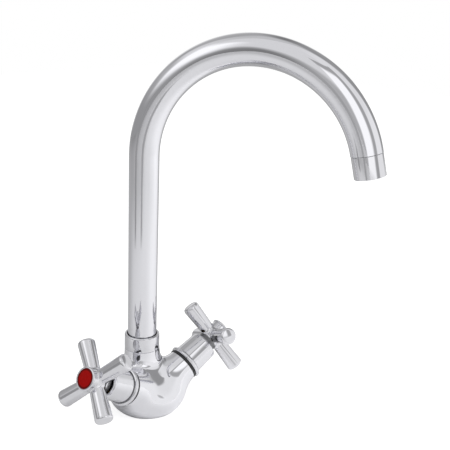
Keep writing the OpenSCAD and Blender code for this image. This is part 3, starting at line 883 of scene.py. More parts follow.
@dataclass(frozen=True)
class CastBody:
    """The bowl-shaped body with its two raised arms and its neck.

    Attributes:
        bowl_d: Diameter of the bowl at its widest.
        bowl_h: Height of its widest part above the worktop.
        bowl_half: Half the height of the full bowl, of which the worktop cuts off the bottom.
        neck_d: Diameter of the neck.
        neck_h: Height of the shoulder that the collar stands on.
        neck_bore_d: Diameter of the bore in the neck.
        neck_bore_from: Height of the floor of that bore.
        neck_blend: Softness of the blend between the neck and the rest.
        arm_root_d: Diameter of each arm where the valve axes meet.
        arm_face_d: Diameter of each arm at its face.
        arm_len: Distance of that face from where the axes meet.
        arm_bore_d: Diameter of the bore in each arm.
        arm_bore_from: Distance of the floor of that bore from where the axes meet.
        arm_blend: Softness of the blend between the bowl and the arms.
        seal_inner_d: Inner diameter of the groove for the foot seal.
        seal_outer_d: Its outer diameter.
        seal_depth: Its depth.
        inlet_d: Diameter of each inlet socket.
        inlet_depth: Depth of each inlet socket.
        inlet_side: Distance of each inlet socket to the side of the centre.
        inlet_front: Distance of the inlet sockets in front of the centre.
        stud_d: Diameter of the stud socket.
        stud_depth: Its depth.
        stud_back: Its distance behind the centre.
        foot_cut_d: Width of the tool that cuts the bowl off at the worktop.
        neck_cut_d: Width of the tool that cuts the neck off at its shoulder.
        arm_cut_d: Width of the tool that cuts each arm off at its face.
        cut_len: Length of these three tools.
        heart_up: How far over meet_z the point lies that has the whole skin in view.
        far: A distance from that point that is outside the body.
        columns: Steps of the skin round the body.
        rows: Steps of the skin from top to bottom.
        socket_steps: Steps round each of the sockets in the foot.
    """

    bowl_d: float = 62.4
    bowl_h: float = 10.6
    bowl_half: float = 17.4
    neck_d: float = 29.0
    neck_h: float = 51.0
    neck_bore_d: float = 19.0
    neck_bore_from: float = 36.0
    neck_blend: float = 4.9
    arm_root_d: float = 29.0
    arm_face_d: float = 27.6
    arm_len: float = 35.2
    arm_bore_d: float = 21.0
    arm_bore_from: float = 12.0
    arm_blend: float = 3.8
    seal_inner_d: float = 39.9
    seal_outer_d: float = 45.1
    seal_depth: float = 2.25
    inlet_d: float = 9.0
    inlet_depth: float = 8.5
    inlet_side: float = 12.5
    inlet_front: float = 6.0
    stud_d: float = 6.8
    stud_depth: float = 14.0
    stud_back: float = 14.0
    foot_cut_d: float = 140.0
    neck_cut_d: float = 60.0
    arm_cut_d: float = 44.0
    cut_len: float = 60.0
    heart_up: float = 3.5
    far: float = 150.0
    columns: int = 280
    rows: int = 170
    socket_steps: int = 48

    def distance(self, p: np.ndarray) -> np.ndarray:
        """How far points lie outside the soft outer shape.

        Args:
            p: The points, one per row.

        Returns:
            One distance per point, negative inside.
        """
        bowl_r = self.bowl_d / 2
        q = (p - (0.0, 0.0, self.bowl_h)) / (bowl_r, bowl_r, self.bowl_half)
        bowl = (np.linalg.norm(q, axis=1) - 1.0) * min(bowl_r, self.bowl_half)
        meet = np.array([0.0, LAYOUT.meet_y, LAYOUT.meet_z])
        root_r, face_r = self.arm_root_d / 2, self.arm_face_d / 2
        ends = [meet + self.arm_len * LAYOUT.valve_dir(side) for side in Side]
        arms = [bar(p, meet, end, root_r, face_r) for end in ends]
        low = np.array([0.0, LAYOUT.swivel_back, LAYOUT.meet_z])
        high = np.array([0.0, LAYOUT.swivel_back, self.neck_h])
        neck = bar(p, low, high, self.neck_d / 2, self.neck_d / 2)
        return soft_min([soft_min([bowl, *arms], self.arm_blend), neck], self.neck_blend)

    def shell(self) -> bpy.types.Object:
        """Builds the closed outer skin, before it is cut.

        Returns:
            The skin, made of rows of faces between a top and a bottom point.
        """
        middle_y = (LAYOUT.swivel_back + LAYOUT.meet_y) / 2
        heart = np.array([0.0, middle_y, LAYOUT.meet_z + self.heart_up])
        down = np.linspace(0.0, math.pi, self.rows + 1)[1:-1]
        turns = np.linspace(0.0, 2.0 * math.pi, self.columns, endpoint=False)
        u, w = np.meshgrid(down, turns, indexing="ij")
        dirs = np.stack([np.sin(u) * np.cos(w), np.sin(u) * np.sin(w), np.cos(u)], axis=-1)
        dirs = np.vstack([[[0.0, 0.0, 1.0]], dirs.reshape(-1, 3), [[0.0, 0.0, -1.0]]])
        points = march(self.distance, heart, dirs, self.far)
        last = len(points) - 1
        faces = fan(0, 1, self.columns)
        faces += skin(self.rows - 1, self.columns, 1)
        faces += fan(last, last - self.columns, self.columns)
        return make_object("cast_body", points, faces, np.eye(4))

    def cutters(self) -> list[bpy.types.Object]:
        """Makes the tools that cut the skin: four faces, the bores and the groove of the seal.

        Returns:
            The closed tools.
        """
        foot = np.eye(4)
        neck = LAYOUT.swivel()
        tools = [
            plug(foot, self.foot_cut_d, -self.cut_len, 0.0),
            plug(neck, self.neck_cut_d, self.neck_h, self.neck_h + self.cut_len),
        ]
        for side in Side:
            valve = LAYOUT.valve(side)
            inlet = shift(side.value * self.inlet_side, -self.inlet_front, 0.0)
            tools += [
                plug(valve, self.arm_cut_d, self.arm_len, self.arm_len + self.cut_len),
                plug(valve, self.arm_bore_d, self.arm_bore_from, self.arm_len + PAST),
                plug(inlet, self.inlet_d, -PAST, self.inlet_depth, self.socket_steps),
            ]
        stud = shift(0.0, self.stud_back, 0.0)
        inner, outer, top = self.seal_inner_d / 2, self.seal_outer_d / 2, self.seal_depth
        groove = [(inner, -PAST), (outer, -PAST), (outer, top), (inner, top)]
        return [
            *tools,
            plug(neck, self.neck_bore_d, self.neck_bore_from, self.neck_h + PAST),
            plug(stud, self.stud_d, -PAST, self.stud_depth, self.socket_steps),
            lathe("cutter", groove, foot),
        ]

    def build(self) -> None:
        """Builds the body, cuts its faces and bores, and dresses it."""
        obj = self.shell()
        carve(obj, self.cutters())
        dress(obj, FINISH.body_chrome, Slot.BODY, Body.TAP, "body")


# Collar and spout


@dataclass(frozen=True)
class Collar:
    """The collar nut that holds the spout on the neck.

    Attributes:
        d: Outer diameter.
        foot_z: Height of its foot.
        foot_round: Rounding of its outer edge at the foot.
        top_z: Height of its top.
        top_round: Rounding of its outer edge at the top.
        bore_d: Diameter of the bore over the neck's thread.
        cavity_d: Diameter of the room for the snap ring.
        cavity_z: Height at which that room starts.
        lip_d: Diameter of the mouth that the tube stands in.
        lip_z: Height at which the lip round the mouth starts.
        lip_round: Rounding of the lip's upper edge.
        lip_painted_shade: How far from the mouth the lip is painted with shade.
    """

    d: float = 29.2
    foot_z: float = 51.0
    foot_round: float = 0.35
    top_z: float = 63.6
    top_round: float = 1.1
    bore_d: float = 25.1
    cavity_d: float = 26.9
    cavity_z: float = 58.0
    lip_d: float = 24.9
    lip_z: float = 61.6
    lip_round: float = 0.45
    lip_painted_shade: float = 0.4

    def build(self) -> None:
        """Builds and dresses the collar."""
        outline = rounded(
            [
                (self.bore_d / 2, self.foot_z, EDGE),
                (self.d / 2, self.foot_z, self.foot_round),
                (self.d / 2, self.top_z, self.top_round),
                (self.lip_d / 2, self.top_z, self.lip_round),
                (self.lip_d / 2, self.lip_z, EDGE),
                (self.cavity_d / 2, self.lip_z, EDGE),
                (self.cavity_d / 2, self.cavity_z, EDGE),
                (self.bore_d / 2, self.cavity_z, EDGE),
            ]
        )
        obj = lathe("collar", outline, LAYOUT.swivel(), steps=160)
        dress(obj, FINISH.trim_chrome, Slot.TRIM, Body.TAP, "collar_nut")
        # The collar's lip round the tube is painted with shade.
        line_with(obj, FINISH.plating_and_painted_shade, self.mouth)

    def mouth(self, p: np.ndarray) -> np.ndarray:
        """Negative for points of the collar that face the tube, which are painted with shade."""
        off = np.linalg.norm(p[:, :2] - LAYOUT.swivel()[:2, 3], axis=1)
        return off - self.lip_d / 2 - self.lip_painted_shade


@dataclass(frozen=True)
class SwanNeck:
    """The bent spout tube.

    Attributes:
        d: Outer diameter.
        wall: Thickness of the wall.
        foot_z: Height of its lower end, inside the collar.
        riser_rings: Rings of points along the straight riser.
        bend_rings: Rings of points along the arch.
        round_steps: Points of each ring.
        draw: How many times longer the waviness of its surface is along it than across.
    """

    d: float = 24.0
    wall: float = 1.0
    foot_z: float = 62.4
    riser_rings: int = 24
    bend_rings: int = 150
    round_steps: int = 128
    draw: float = 14.0

    def build(self) -> None:
        """Sweeps a ring up the outside of the tube and back down its inside."""
        riser = [(0.0, z) for z in np.linspace(self.foot_z, LAYOUT.arch_h, self.riser_rings)]
        bend = math.radians(LAYOUT.arch_turn) * np.arange(1, self.bend_rings + 1) / self.bend_rings
        way = riser + [(angle, LAYOUT.arch_h) for angle in bend]
        rings = [self._ring(angle, z, self.d / 2) for angle, z in way]
        rings += [self._ring(angle, z, self.d / 2 - self.wall) for angle, z in reversed(way)]
        faces = skin(len(rings), self.round_steps, closed=True)
        place = LAYOUT.swivel(LAYOUT.spout_turn)
        obj = make_object("swan_neck", np.vstack(rings), faces, place)
        self._mark_length(obj, place)
        dress(obj, FINISH.tube_chrome, Slot.TUBE, Body.SPOUT, "spout_tube")

    def _ring(self, angle: float, z: float, radius: float) -> np.ndarray:
        """One ring of points round the tube's middle line.

        Args:
            angle: How far along the arch it lies, in radians; 0 on the riser.
            z: Its height on the riser, or that of the arch's centre.
            radius: Its radius.

        Returns:
            One row per point, in the spout's frame.
        """
        r = LAYOUT.arch_r
        middle = np.array([r - r * math.cos(angle), 0.0, z + r * math.sin(angle)])
        inward = np.array([math.cos(angle), 0.0, -math.sin(angle)])
        side = np.array([0.0, 1.0, 0.0])
        t = 2.0 * math.pi * np.arange(self.round_steps) / self.round_steps
        return middle + radius * (np.outer(np.cos(t), inward) + np.outer(np.sin(t), side))

    def _mark_length(self, obj: bpy.types.Object, place: np.ndarray) -> None:
        """Stores where each vertex would lie if the tube were straight and far shorter.

        Args:
            obj: The tube.
            place: The spout's frame.
        """
        count = len(obj.data.vertices)
        flat = np.empty(3 * count)
        obj.data.vertices.foreach_get("co", flat)
        x, y, z = seen_from(place, flat.reshape(count, 3) / MM).T
        r, h = LAYOUT.arch_r, LAYOUT.arch_h
        on_arch = (z > h) | (x > r)
        angle = np.arctan2(z - h, r - x) % (2.0 * math.pi)
        off = np.where(on_arch, r - np.hypot(x - r, z - h), x)
        along = np.where(on_arch, h + r * angle, z)
        drawn = np.stack([off, y, along / self.draw], axis=1) * MM
        mark = obj.data.attributes.new(FINISH.tube_chrome.drawn, "FLOAT_VECTOR", "POINT")
        mark.data.foreach_set("vector", drawn.ravel())


@dataclass(frozen=True)
class OutletCap:
    """The cap that holds the flow insert at the end of the spout.

    Attributes:
        d: Outer diameter.
        top: Distance of its upper end from the tube's.
        top_round: Rounding of its outer edge there.
        end: Distance of its lower end from the tube's.
        end_round: Rounding of its edges there.
        thread_d: Diameter of the thread inside.
        seat: Distance of the shoulder under the washer from the tube's end.
        bore_d: Diameter of the room for the flow insert.
        lip: Thickness of the lip that holds the insert.
        mouth_d: Diameter of the mouth in the lip.
    """

    d: float = 23.6
    top: float = 0.4
    top_round: float = 0.3
    end: float = 17.2
    end_round: float = 0.5
    thread_d: float = 21.9
    seat: float = 10.8
    bore_d: float = 20.0
    lip: float = 1.4
    mouth_d: float = 18.4

    def build(self) -> None:
        """Builds and dresses the cap."""
        outline = rounded(
            [
                (self.thread_d / 2, self.top, EDGE),
                (self.d / 2, self.top, self.top_round),
                (self.d / 2, self.end, self.end_round),
                (self.mouth_d / 2, self.end, self.end_round),
                (self.mouth_d / 2, self.end - self.lip, EDGE),
                (self.bore_d / 2, self.end - self.lip, EDGE),
                (self.bore_d / 2, self.seat, EDGE),
                (self.thread_d / 2, self.seat, EDGE),
            ]
        )
        obj = lathe("outlet_sleeve", outline, LAYOUT.outlet())
        dress(obj, FINISH.trim_chrome, Slot.TRIM, Body.SPOUT, "outlet_cap")


# Valves


@dataclass(frozen=True)
class Shroud:
    """The bell over a valve's headwork, with a bead at its foot, and its black washer.

    Heights are distances along the valve's axis from where the two valve axes meet.

    Attributes:
        side: The valve that it stands on.
        washer_d: Outer diameter of the washer.
        washer_bore: Diameter of its hole.
        washer_at: Height of its underside, which is the arm's face.
        washer_t: Its thickness.
        washer_foot_round: Rounding of its outer edge on the arm.
        washer_top_round: Rounding of its outer edge under the bead.
        bead_d: Diameter of the bead.
        bead_t: Height of the bead.
        groove_r: Radius of the hollow between bead and bell.
        groove_up: How far over the bead the middle of that radius lies.
        d: Diameter of the bell at its foot.
        top_d: Diameter of the bell at its top.
        top_at: Height of its top.
        shoulder: Rounding of its upper edge.
        mouth_d: Diameter of the mouth that the handle's hub stands in.
        lip_round: Rounding of the mouth's edge.
        wall: Thickness of its wall.
        inner_d: Diameter of the thread inside.
        inner_to: Height that the thread reaches.
        bore_margin: How far into the wall the painted shade of the bore reaches.
        bore_below: How far under the top it starts.
        groove_painted_shade_at: How far over the bead the middle of the groove's band of painted
            shade lies.
        groove_painted_shade_half: Half the height of that band.
        groove_painted_shade_out: How far out from the bell it reaches.
    """

    side: Side
    washer_d: float = 29.4
    washer_bore: float = 21.0
    washer_at: float = 35.2
    washer_t: float = 2.1
    washer_foot_round: float = 0.4
    washer_top_round: float = 0.3
    bead_d: float = 31.6
    bead_t: float = 3.6
    groove_r: float = 0.9
    groove_up: float = 0.55
    d: float = 26.8
    top_d: float = 25.2
    top_at: float = 62.6
    shoulder: float = 2.3
    mouth_d: float = 20.0
    lip_round: float = 0.35
    wall: float = 1.5
    inner_d: float = 24.06
    inner_to: float = 40.1
    bore_margin: float = 0.1
    bore_below: float = 0.4
    groove_painted_shade_at: float = 0.15
    groove_painted_shade_half: float = 0.45
    groove_painted_shade_out: float = 0.85

    @property
    def foot(self) -> float:
        """Height of the bell's foot, on the washer."""
        return self.washer_at + self.washer_t

    def build(self) -> None:
        """Builds and dresses the bell and the washer under it."""
        label = self.side.label
        place = LAYOUT.valve(self.side)
        bell = lathe(f"{label}_bell", self.bell_outline(), place, steps=144)
        dress(bell, FINISH.trim_chrome, Slot.TRIM, Body.TAP, f"{label}_shroud")
        # The bell's bore and the groove over its bead are painted with shade.
        line_with(bell, FINISH.plating_and_painted_shade, self.dulled)
        ring = rounded(
            [
                (self.washer_bore / 2, self.washer_at, EDGE),
                (self.washer_d / 2, self.washer_at, self.washer_foot_round),
                (self.washer_d / 2, self.foot, self.washer_top_round),
                (self.washer_bore / 2, self.foot, EDGE),
            ]
        )
        washer = lathe(f"{label}_bell_washer", ring, place, steps=112)
        dress(washer, FINISH.black_plastic, Slot.WASHER, Body.TAP, f"{label}_washer")

    def bell_outline(self) -> Outline:
        """Draws the bell: up its outside over bead, groove and shoulder, and down its inside.

        Returns:
            The closed outline.
        """
        bead = self.bead_t / 2
        hollow = (self.d / 2 + self.groove_r, self.foot + self.bead_t + self.groove_up)
        shoulder = (self.top_d / 2 - self.shoulder, self.top_at - self.shoulder)
        lip = (self.mouth_d / 2 + self.lip_round, self.top_at - self.lip_round)
        under = self.top_at - self.wall
        return [
            (self.inner_d / 2, self.foot),
            *arc(self.bead_d / 2 - bead, self.foot + bead, bead, -90.0, 78.0, n=20),
            *arc(*hollow, self.groove_r, 262.0, 181.0, n=8),
            *arc(*shoulder, self.shoulder, 2.0, 90.0, n=16),
            *arc(*lip, self.lip_round, 90.0, 180.0, n=5),
            (self.mouth_d / 2, under),
            (self.top_d / 2 - 2 * self.wall, under),
            (self.top_d / 2 - self.wall, under - self.wall),
            (self.inner_d / 2, self.inner_to),
        ]

    def dulled(self, p: np.ndarray) -> np.ndarray:
        """Tells which points of the bell are painted with shade: its bore and its groove.

        Args:
            p: The points, one per row.

        Returns:
            One value per point, negative where shade is painted.
        """
        local = seen_from(LAYOUT.valve(self.side), p)
        off = np.linalg.norm(local[:, :2], axis=1)
        up = local[:, 2]
        bore_r = self.top_d / 2 - self.wall + self.bore_margin
        bore = np.maximum(off - bore_r, up - self.top_at + self.bore_below)
        middle = self.foot + self.bead_t + self.groove_painted_shade_at
        groove_r = self.d / 2 + self.groove_painted_shade_out
        groove = np.maximum(off - groove_r, np.abs(up - middle) - self.groove_painted_shade_half)
        return np.minimum(bore, groove)


@dataclass(frozen=True)
class CrossHandle:
    """A cross handle: four round arms that widen outwards, a hub and its index disc.

    The hub's heights are taken from the arms' axes, except skirt_at.

    Attributes:
        side: The valve that it turns.
        arms_at: Distance of the arms' axes from where the two valve axes meet.
        reach: Length of each arm from the hub's axis.
        root_d: Diameter of each arm at the hub's axis.
        tip_d: Diameter of each arm at its end.
        tip_round: Rounding of the edge at its end.
        tip_dome: How far the middle of its end stands out.
        web: Radius of the fillets between the arms.
        hub_d: Diameter of the hub.
        hub_rise: Height of the rim on the hub.
        hub_under: How far under that height the hub itself ends.
        hub_round: Rounding of the hub's edges.
        hub_web: Radius of the fillets between the arms and the hub.
        ball_d: Diameter of the ball in which the arms meet.
        skirt_at: Distance of the hub's foot from where the two valve axes meet.
        skirt_from: How far under the arms' axes the skirt of the hub starts.
        skirt_margin: How far out from the hub the painted shade of its skirt reaches.
        rim_d: Diameter of the rim.
        rim_h: Height of the rim.
        rim_in: How far under the rim's top its inner edge lies.
        seat_d: Diameter of the seat of the index disc.
        index_d: Diameter of the disc.
        index_t: Thickness of the disc.
        index_under: How far under the rim's top the disc's top lies.
        index_round: Rounding of the disc's edge.
        index_crown: How far its middle stands out.
        index_face: The share of its radius inside the painted shade of its rounded edge.
        columns: Steps of the skin along a quarter of each patch's border.
        arm_from: Distance from the centre at which the even rings of an arm start.
        arm_rings: How many there are.
        tip_from: Distance before the arm's end at which they stop.
        edge_rings: How many closer rings go round the edge of its end.
        edge_in: Where these stop, as a share of the end's width.
        dome_rings: How many rings lie on its end.
        dome_in: Where these stop, as a share of the end's width.
        hub_rings: How many rings lie on each end of the hub.
        hub_in: Where these stop, as a share of the patch's width.
        hub_round_at: Width of the largest of them that is wholly round.
        arm_round_at: Width of the largest ring of an arm that is wholly round.
        border: The first two rings of an arm, on and beside its patch's border.
        border_in: Width under which the even rings of an arm start.
        crease: Edges with a larger angle than this, in degrees, stay sharp.
        far: A distance from the centre that is outside the handle.
    """

    side: Side
    arms_at: float = 72.8
    reach: float = 34.8
    root_d: float = 11.2
    tip_d: float = 14.4
    tip_round: float = 1.9
    tip_dome: float = 1.0
    web: float = 2.4
    hub_d: float = 17.2
    hub_rise: float = 11.8
    hub_under: float = 1.2
    hub_round: float = 0.3
    hub_web: float = 1.2
    ball_d: float = 19.0
    skirt_at: float = 61.0
    skirt_from: float = 5.9
    skirt_margin: float = 0.4
    rim_d: float = 18.8
    rim_h: float = 2.2
    rim_in: float = 0.25
    seat_d: float = 15.86
    index_d: float = 15.8
    index_t: float = 1.5
    index_under: float = 0.2
    index_round: float = 0.35
    index_crown: float = 0.2
    index_face: float = 0.82
    columns: int = 36
    arm_from: float = 6.4
    arm_rings: int = 44
    tip_from: float = 2.2
    edge_rings: int = 22
    edge_in: float = 0.74
    dome_rings: int = 9
    dome_in: float = 0.1
    hub_rings: int = 46
    hub_in: float = 0.04
    hub_round_at: float = 0.6
    arm_round_at: float = 0.45
    border: tuple[tuple[float, float], ...] = ((1.0, 1.0), (0.98, 0.97))
    border_in: float = 0.97
    crease: float = 50.0
    far: float = 60.0

    @property
    def label(self) -> str:
        """The word that the names of this handle's pieces start with."""
        return self.side.label

    @property
    def body(self) -> Body:
        """The rigid body that turns with this handle."""
        return Body.HOT_TURN if self.side is Side.HOT else Body.COLD_TURN

    def place(self) -> np.ndarray:
        """The frame of the cross: its centre where the arms meet, X along the first arm."""
        return (
            LAYOUT.valve(self.side)
            @ shift(0.0, 0.0, self.arms_at)
            @ turn("Z", LAYOUT.rest_turn(self.side))
        )

    def build(self) -> None:
        """Builds and dresses the cross, its rim and its index disc."""
        cross = self.cross()
        dress(cross, FINISH.handle_chrome, Slot.HANDLE, self.body, f"{self.label}_handle")
        # The hub's skirt in the mouth of the bell is painted with shade.
        line_with(cross, FINISH.plating_and_painted_shade, self.skirt)
        rim = lathe(f"{self.label}_hub_rim", self.rim_outline(), self.place(), steps=112)
        dress(rim, FINISH.handle_chrome, Slot.HANDLE, self.body)
        disc = lathe(f"{self.label}_disc", self.disc_outline(), self.place(), steps=96)
        hot = self.side is Side.HOT
        slot = Slot.HOT_DISC if hot else Slot.COLD_DISC
        face_finish = FINISH.red_disc if hot else FINISH.blue_disc
        shade_finish = FINISH.red_edge_shade if hot else FINISH.blue_edge_shade
        dress(disc, face_finish, slot, self.body, f"{self.label}_index_disc")
        # The disc's rounded edge is painted with a darker colour as shade.
        line_with(disc, shade_finish, self.disc_edge_shade)

    def rim_outline(self) -> Outline:
        """Draws the rim round the index disc.

        Returns:
            The closed outline.
        """
        edge = self.rim_h / 2
        return [
            *arc(self.rim_d / 2 - edge, self.hub_rise - edge, edge, -90.0, 100.0, n=20),
            (self.seat_d / 2, self.hub_rise - self.rim_in),
            (self.seat_d / 2, self.hub_rise - self.rim_h),
        ]

    def disc_outline(self) -> Outline:
        """Draws the index disc, with a round edge and a slightly crowned face.

        Returns:
            The closed outline.
        """
        r = self.index_d / 2
        top = self.hub_rise - self.index_under
        seat = top - self.index_t
        shares = (0.8, 0.65, 0.5, 0.3, 0.15, 0.0)
        rounding_at = top - self.index_crown - self.index_round
        return [
            (0.0, seat),
            (r, seat),
            *arc(r - self.index_round, rounding_at, self.index_round, 0.0, 80.0, n=5),
            *((r * share, top - self.index_crown * share * share) for share in shares),
        ]

    def off_axis(self, p: np.ndarray) -> np.ndarray:
        """Distance of points of the tap from this valve's axis."""
        return np.linalg.norm(seen_from(self.place(), p)[:, :2], axis=1)

    def skirt(self, p: np.ndarray) -> np.ndarray:
        """Negative for points of the hub's skirt, which stands in the mouth of the bell and is
        painted with shade.
        """
        over = seen_from(self.place(), p)[:, 2] + self.skirt_from
        return np.maximum(over, self.off_axis(p) - self.hub_d / 2 - self.skirt_margin)

    def disc_edge_shade(self, p: np.ndarray) -> np.ndarray:
        """Negative for points on the disc's rounded edge, which is painted with shade."""
        return self.index_face * self.index_d / 2 - self.off_axis(p)

    def arm(self, along: np.ndarray, off: np.ndarray) -> np.ndarray:
        """Distance to one arm.

        Args:
            along: How far along the arm's axis each point lies.
            off: How far off that axis it lies.

        Returns:
            One distance per point, negative inside the arm.
        """
        grow = (self.tip_d - self.root_d) / 2 / self.reach
        wall = off - self.root_d / 2 - grow * np.maximum(along, 0.0)
        wall = np.where(along < 0.0, np.hypot(along, off) - self.root_d / 2, wall)
        dome = self.tip_dome * (off / (self.tip_d / 2)) ** 2
        return eased(wall, along + dome - self.reach, self.tip_round)

    def distance(self, p: np.ndarray) -> np.ndarray:
        """How far points lie outside the arms and the hub.

        Args:
            p: The points in the frame of the cross, one per row.

        Returns:
            One distance per point, negative inside.
        """
        x, y, z = p.T
        first = np.minimum(self.arm(x, np.hypot(y, z)), self.arm(-x, np.hypot(y, z)))
        second = np.minimum(self.arm(y, np.hypot(x, z)), self.arm(-y, np.hypot(x, z)))
        arms = filleted(first, second, self.web)
        foot = self.skirt_at - self.arms_at
        stem = np.maximum(z - self.hub_rise + self.hub_under, foot - z)
        hub = eased(np.hypot(x, y) - self.hub_d / 2, stem, self.hub_round)
        ball = np.linalg.norm(p, axis=1) - self.ball_d / 2
        return filleted(arms, np.minimum(hub, ball), self.hub_web)

    def cross(self) -> bpy.types.Object:
        """Builds the arms and the hub as one skin, in six patches round the centre.

        Returns:
            The skin, with one patch for each arm and each end of the hub.
        """
        arm_plan, hub_plan = self._plan_arm(), self._plan_hub()
        n = 4 * self.columns
        blocks: list[np.ndarray] = []
        faces: Faces = []
        first = 0
        for k, axis in enumerate(np.vstack([np.eye(3), -np.eye(3)])):
            rings = hub_plan if k % 3 == 2 else arm_plan
            blocks.append(self._patch(axis, rings))
            tip = first + len(rings) * n
            faces += skin(len(rings), n, first)
            faces += fan(tip, tip - n, n)
            first = tip + 1
        points = march(self.distance, np.zeros(3), np.vstack(blocks), self.far)
        return make_object(f"{self.label}_cross", points, faces, self.place(), self.crease)

    def _plan_hub(self) -> Rings:
        """The (width, squareness) of each ring on an end of the hub."""
        widths = np.linspace(1.0, self.hub_in, self.hub_rings)
        return [(u, self._square(u, self.hub_round_at)) for u in widths]

    def _plan_arm(self) -> Rings:
        """Plans the rings of an arm.

        Returns:
            (width, squareness) of each ring: even steps along the arm, closer ones round the
            edge of its end, and a few on its end.
        """
        middle_r = (self.root_d + self.tip_d) / 4
        steps = np.linspace(self.arm_from, self.reach - self.tip_from, self.arm_rings)
        straight = middle_r / steps
        end = self.tip_d / 2 / (self.reach - self.tip_dome)
        edge = np.linspace(straight[-1], self.edge_in * end, self.edge_rings)[1:]
        dome = np.linspace(edge[-1], self.dome_in * end, self.dome_rings)[1:]
        inner = [(u, self._square(u, self.arm_round_at)) for u in straight if u < self.border_in]
        return [*self.border, *inner, *((u, 0.0) for u in [*edge, *dome])]

    @staticmethod
    def _square(width: float, round_at: float) -> float:
        """How square a ring is: 1 on the patch's border, falling to 0 where it is round."""
        return max(0.0, (width - round_at) / (1.0 - round_at))

    def _patch(self, axis: np.ndarray, rings: Rings) -> np.ndarray:
        """Directions of one of the six patches that cover the sphere.

        Args:
            axis: The middle direction of the patch.
            rings: (width, squareness) of each ring, from the patch's border inwards.

        Returns:
            One unit vector per row: those of the rings in order, and the axis at the end.
        """
        side_1 = np.roll(np.abs(axis), 1)
        side_2 = np.cross(axis, side_1)
        n = 4 * self.columns
        turns = math.pi / 4 + 2.0 * math.pi * np.arange(n) / n
        across = np.outer(np.cos(turns), side_1) + np.outer(np.sin(turns), side_2)
        square = 1.0 / np.maximum(np.abs(np.cos(turns)), np.abs(np.sin(turns)))
        rows = [axis + (u * (1.0 - w + w * square))[:, None] * across for u, w in rings]
        dirs = np.vstack([*rows, axis[None, :]])
        return dirs / np.linalg.norm(dirs, axis=1)[:, None]


# Inner pieces


@dataclass(frozen=True)
class InnerPieces:
    """The CAD nodes whose solids are shown as they are.

    Attributes:
        finishes: The finish of each node that the tap has once.
        valve_finishes: The finish of each node that both valves have.
    """

    finishes: dict[str, Finish] = field(
        default_factory=lambda: {
            "foot_seal": FINISH.grey_rubber,
            "slide_ring": FINISH.white_plastic,
            "spout_spigot": FINISH.brass,
            "spigot_seals": FINISH.black_rubber,
            "snap_ring": FINISH.white_plastic,
            "outlet_bush": FINISH.plating_and_painted_shade,
            "outlet_washer": FINISH.grey_rubber,
            "flow_insert": FINISH.grey_plastic,
            "outlet_screen": FINISH.steel,
        }
    )
    valve_finishes: dict[str, Finish] = field(
        default_factory=lambda: {
            "headwork": FINISH.brass,
            "fixed_disc": FINISH.ceramic,
            "seat_seal": FINISH.black_rubber,
            "spline_insert": FINISH.white_plastic,
            "handle_screw": FINISH.steel,
            "spindle": FINISH.brass,
            "spindle_seals": FINISH.black_rubber,
            "spindle_clip": FINISH.steel,
            "turning_disc": FINISH.ceramic,
        }
    )

    def build(self) -> None:
        """Dresses every CAD node that stays."""
        for node, finish in self.finishes.items():
            refinish(node, finish)
        for side in Side:
            for node, finish in self.valve_finishes.items():
                refinish(f"{side.label}_{node}", finish)


# Studio


# Studio


@dataclass(frozen=True)
class Camera:
    """The camera, at the place that was worked out for the photograph's view.

    Attributes:
        place: Where it stands, in millimetres.
        right: Its right before it is rolled.
        up: Its up before it is rolled.
        roll: How far it is rolled, in degrees.
        lens: Its focal length in millimetres.
        sensor: The width of its sensor in millimetres.
    """

    place: tuple[float, float, float] = (-396.45, -476.43, 353.79)
    right: tuple[float, float, float] = (0.7024, -0.7118, 0.0)
    up: tuple[float, float, float] = (0.2106, 0.2078, 0.9552)
    roll: float = 2.492
    lens: float = 64.64
    sensor: float = 36.0

    def build(self) -> None:
        """Makes the camera and sets it as the scene's."""
        data = bpy.data.cameras.new("camera")
        data.lens = self.lens
        data.sensor_width = self.sensor
        data.clip_start = 0.01
        data.clip_end = 100.0
        obj = add_to_scene("camera", data)
        right = Vector(self.right).normalized()
        up = Vector(self.up).normalized()
        c, s = math.cos(math.radians(self.roll)), math.sin(math.radians(self.roll))
        x = c * right + s * up
        y = c * up - s * right
        rotation = Matrix((x, y, x.cross(y))).transposed().to_4x4()
        obj.matrix_world = Matrix.Translation(Vector(self.place) * MM) @ rotation
        bpy.context.scene.camera = obj


@dataclass(frozen=True)
class Panel:
    """A far panel of the studio that the metal reflects: a grey wall or a light box.

    Attributes:
        azimuth: Direction of its middle, in degrees from +X towards +Y.
        half_width: Half its width in degrees.
        low: Lowest elevation in degrees.
        high: Highest elevation in degrees.
        soft: Width of its soft border in degrees.
        level: Its brightness against the plain wall: below 1 is a card, above 1 a light box.
    """

    azimuth: float
    half_width: float
    low: float
    high: float
    soft: float
    level: float

    def share(self, at: Shading, xyz: bpy.types.bpy_prop_collection) -> bpy.types.NodeSocket:
        """What the wall's light is multiplied by.

        Args:
            at: The helper for the world's nodes.
            xyz: The direction that is seen, as three outputs.

        Returns:
            The output that is the level inside the panel and 1 outside, with a soft border.
        """
        inside = at.sector(xyz["X"], xyz["Y"], self.azimuth, self.half_width, self.soft)
        elevation = at.math("ARCSINE", xyz["Z"])
        low, high, soft = (math.radians(t) for t in (self.low, self.high, self.soft))
        return at.tone(at.product(inside, at.band(elevation, low, high, soft)), self.level)


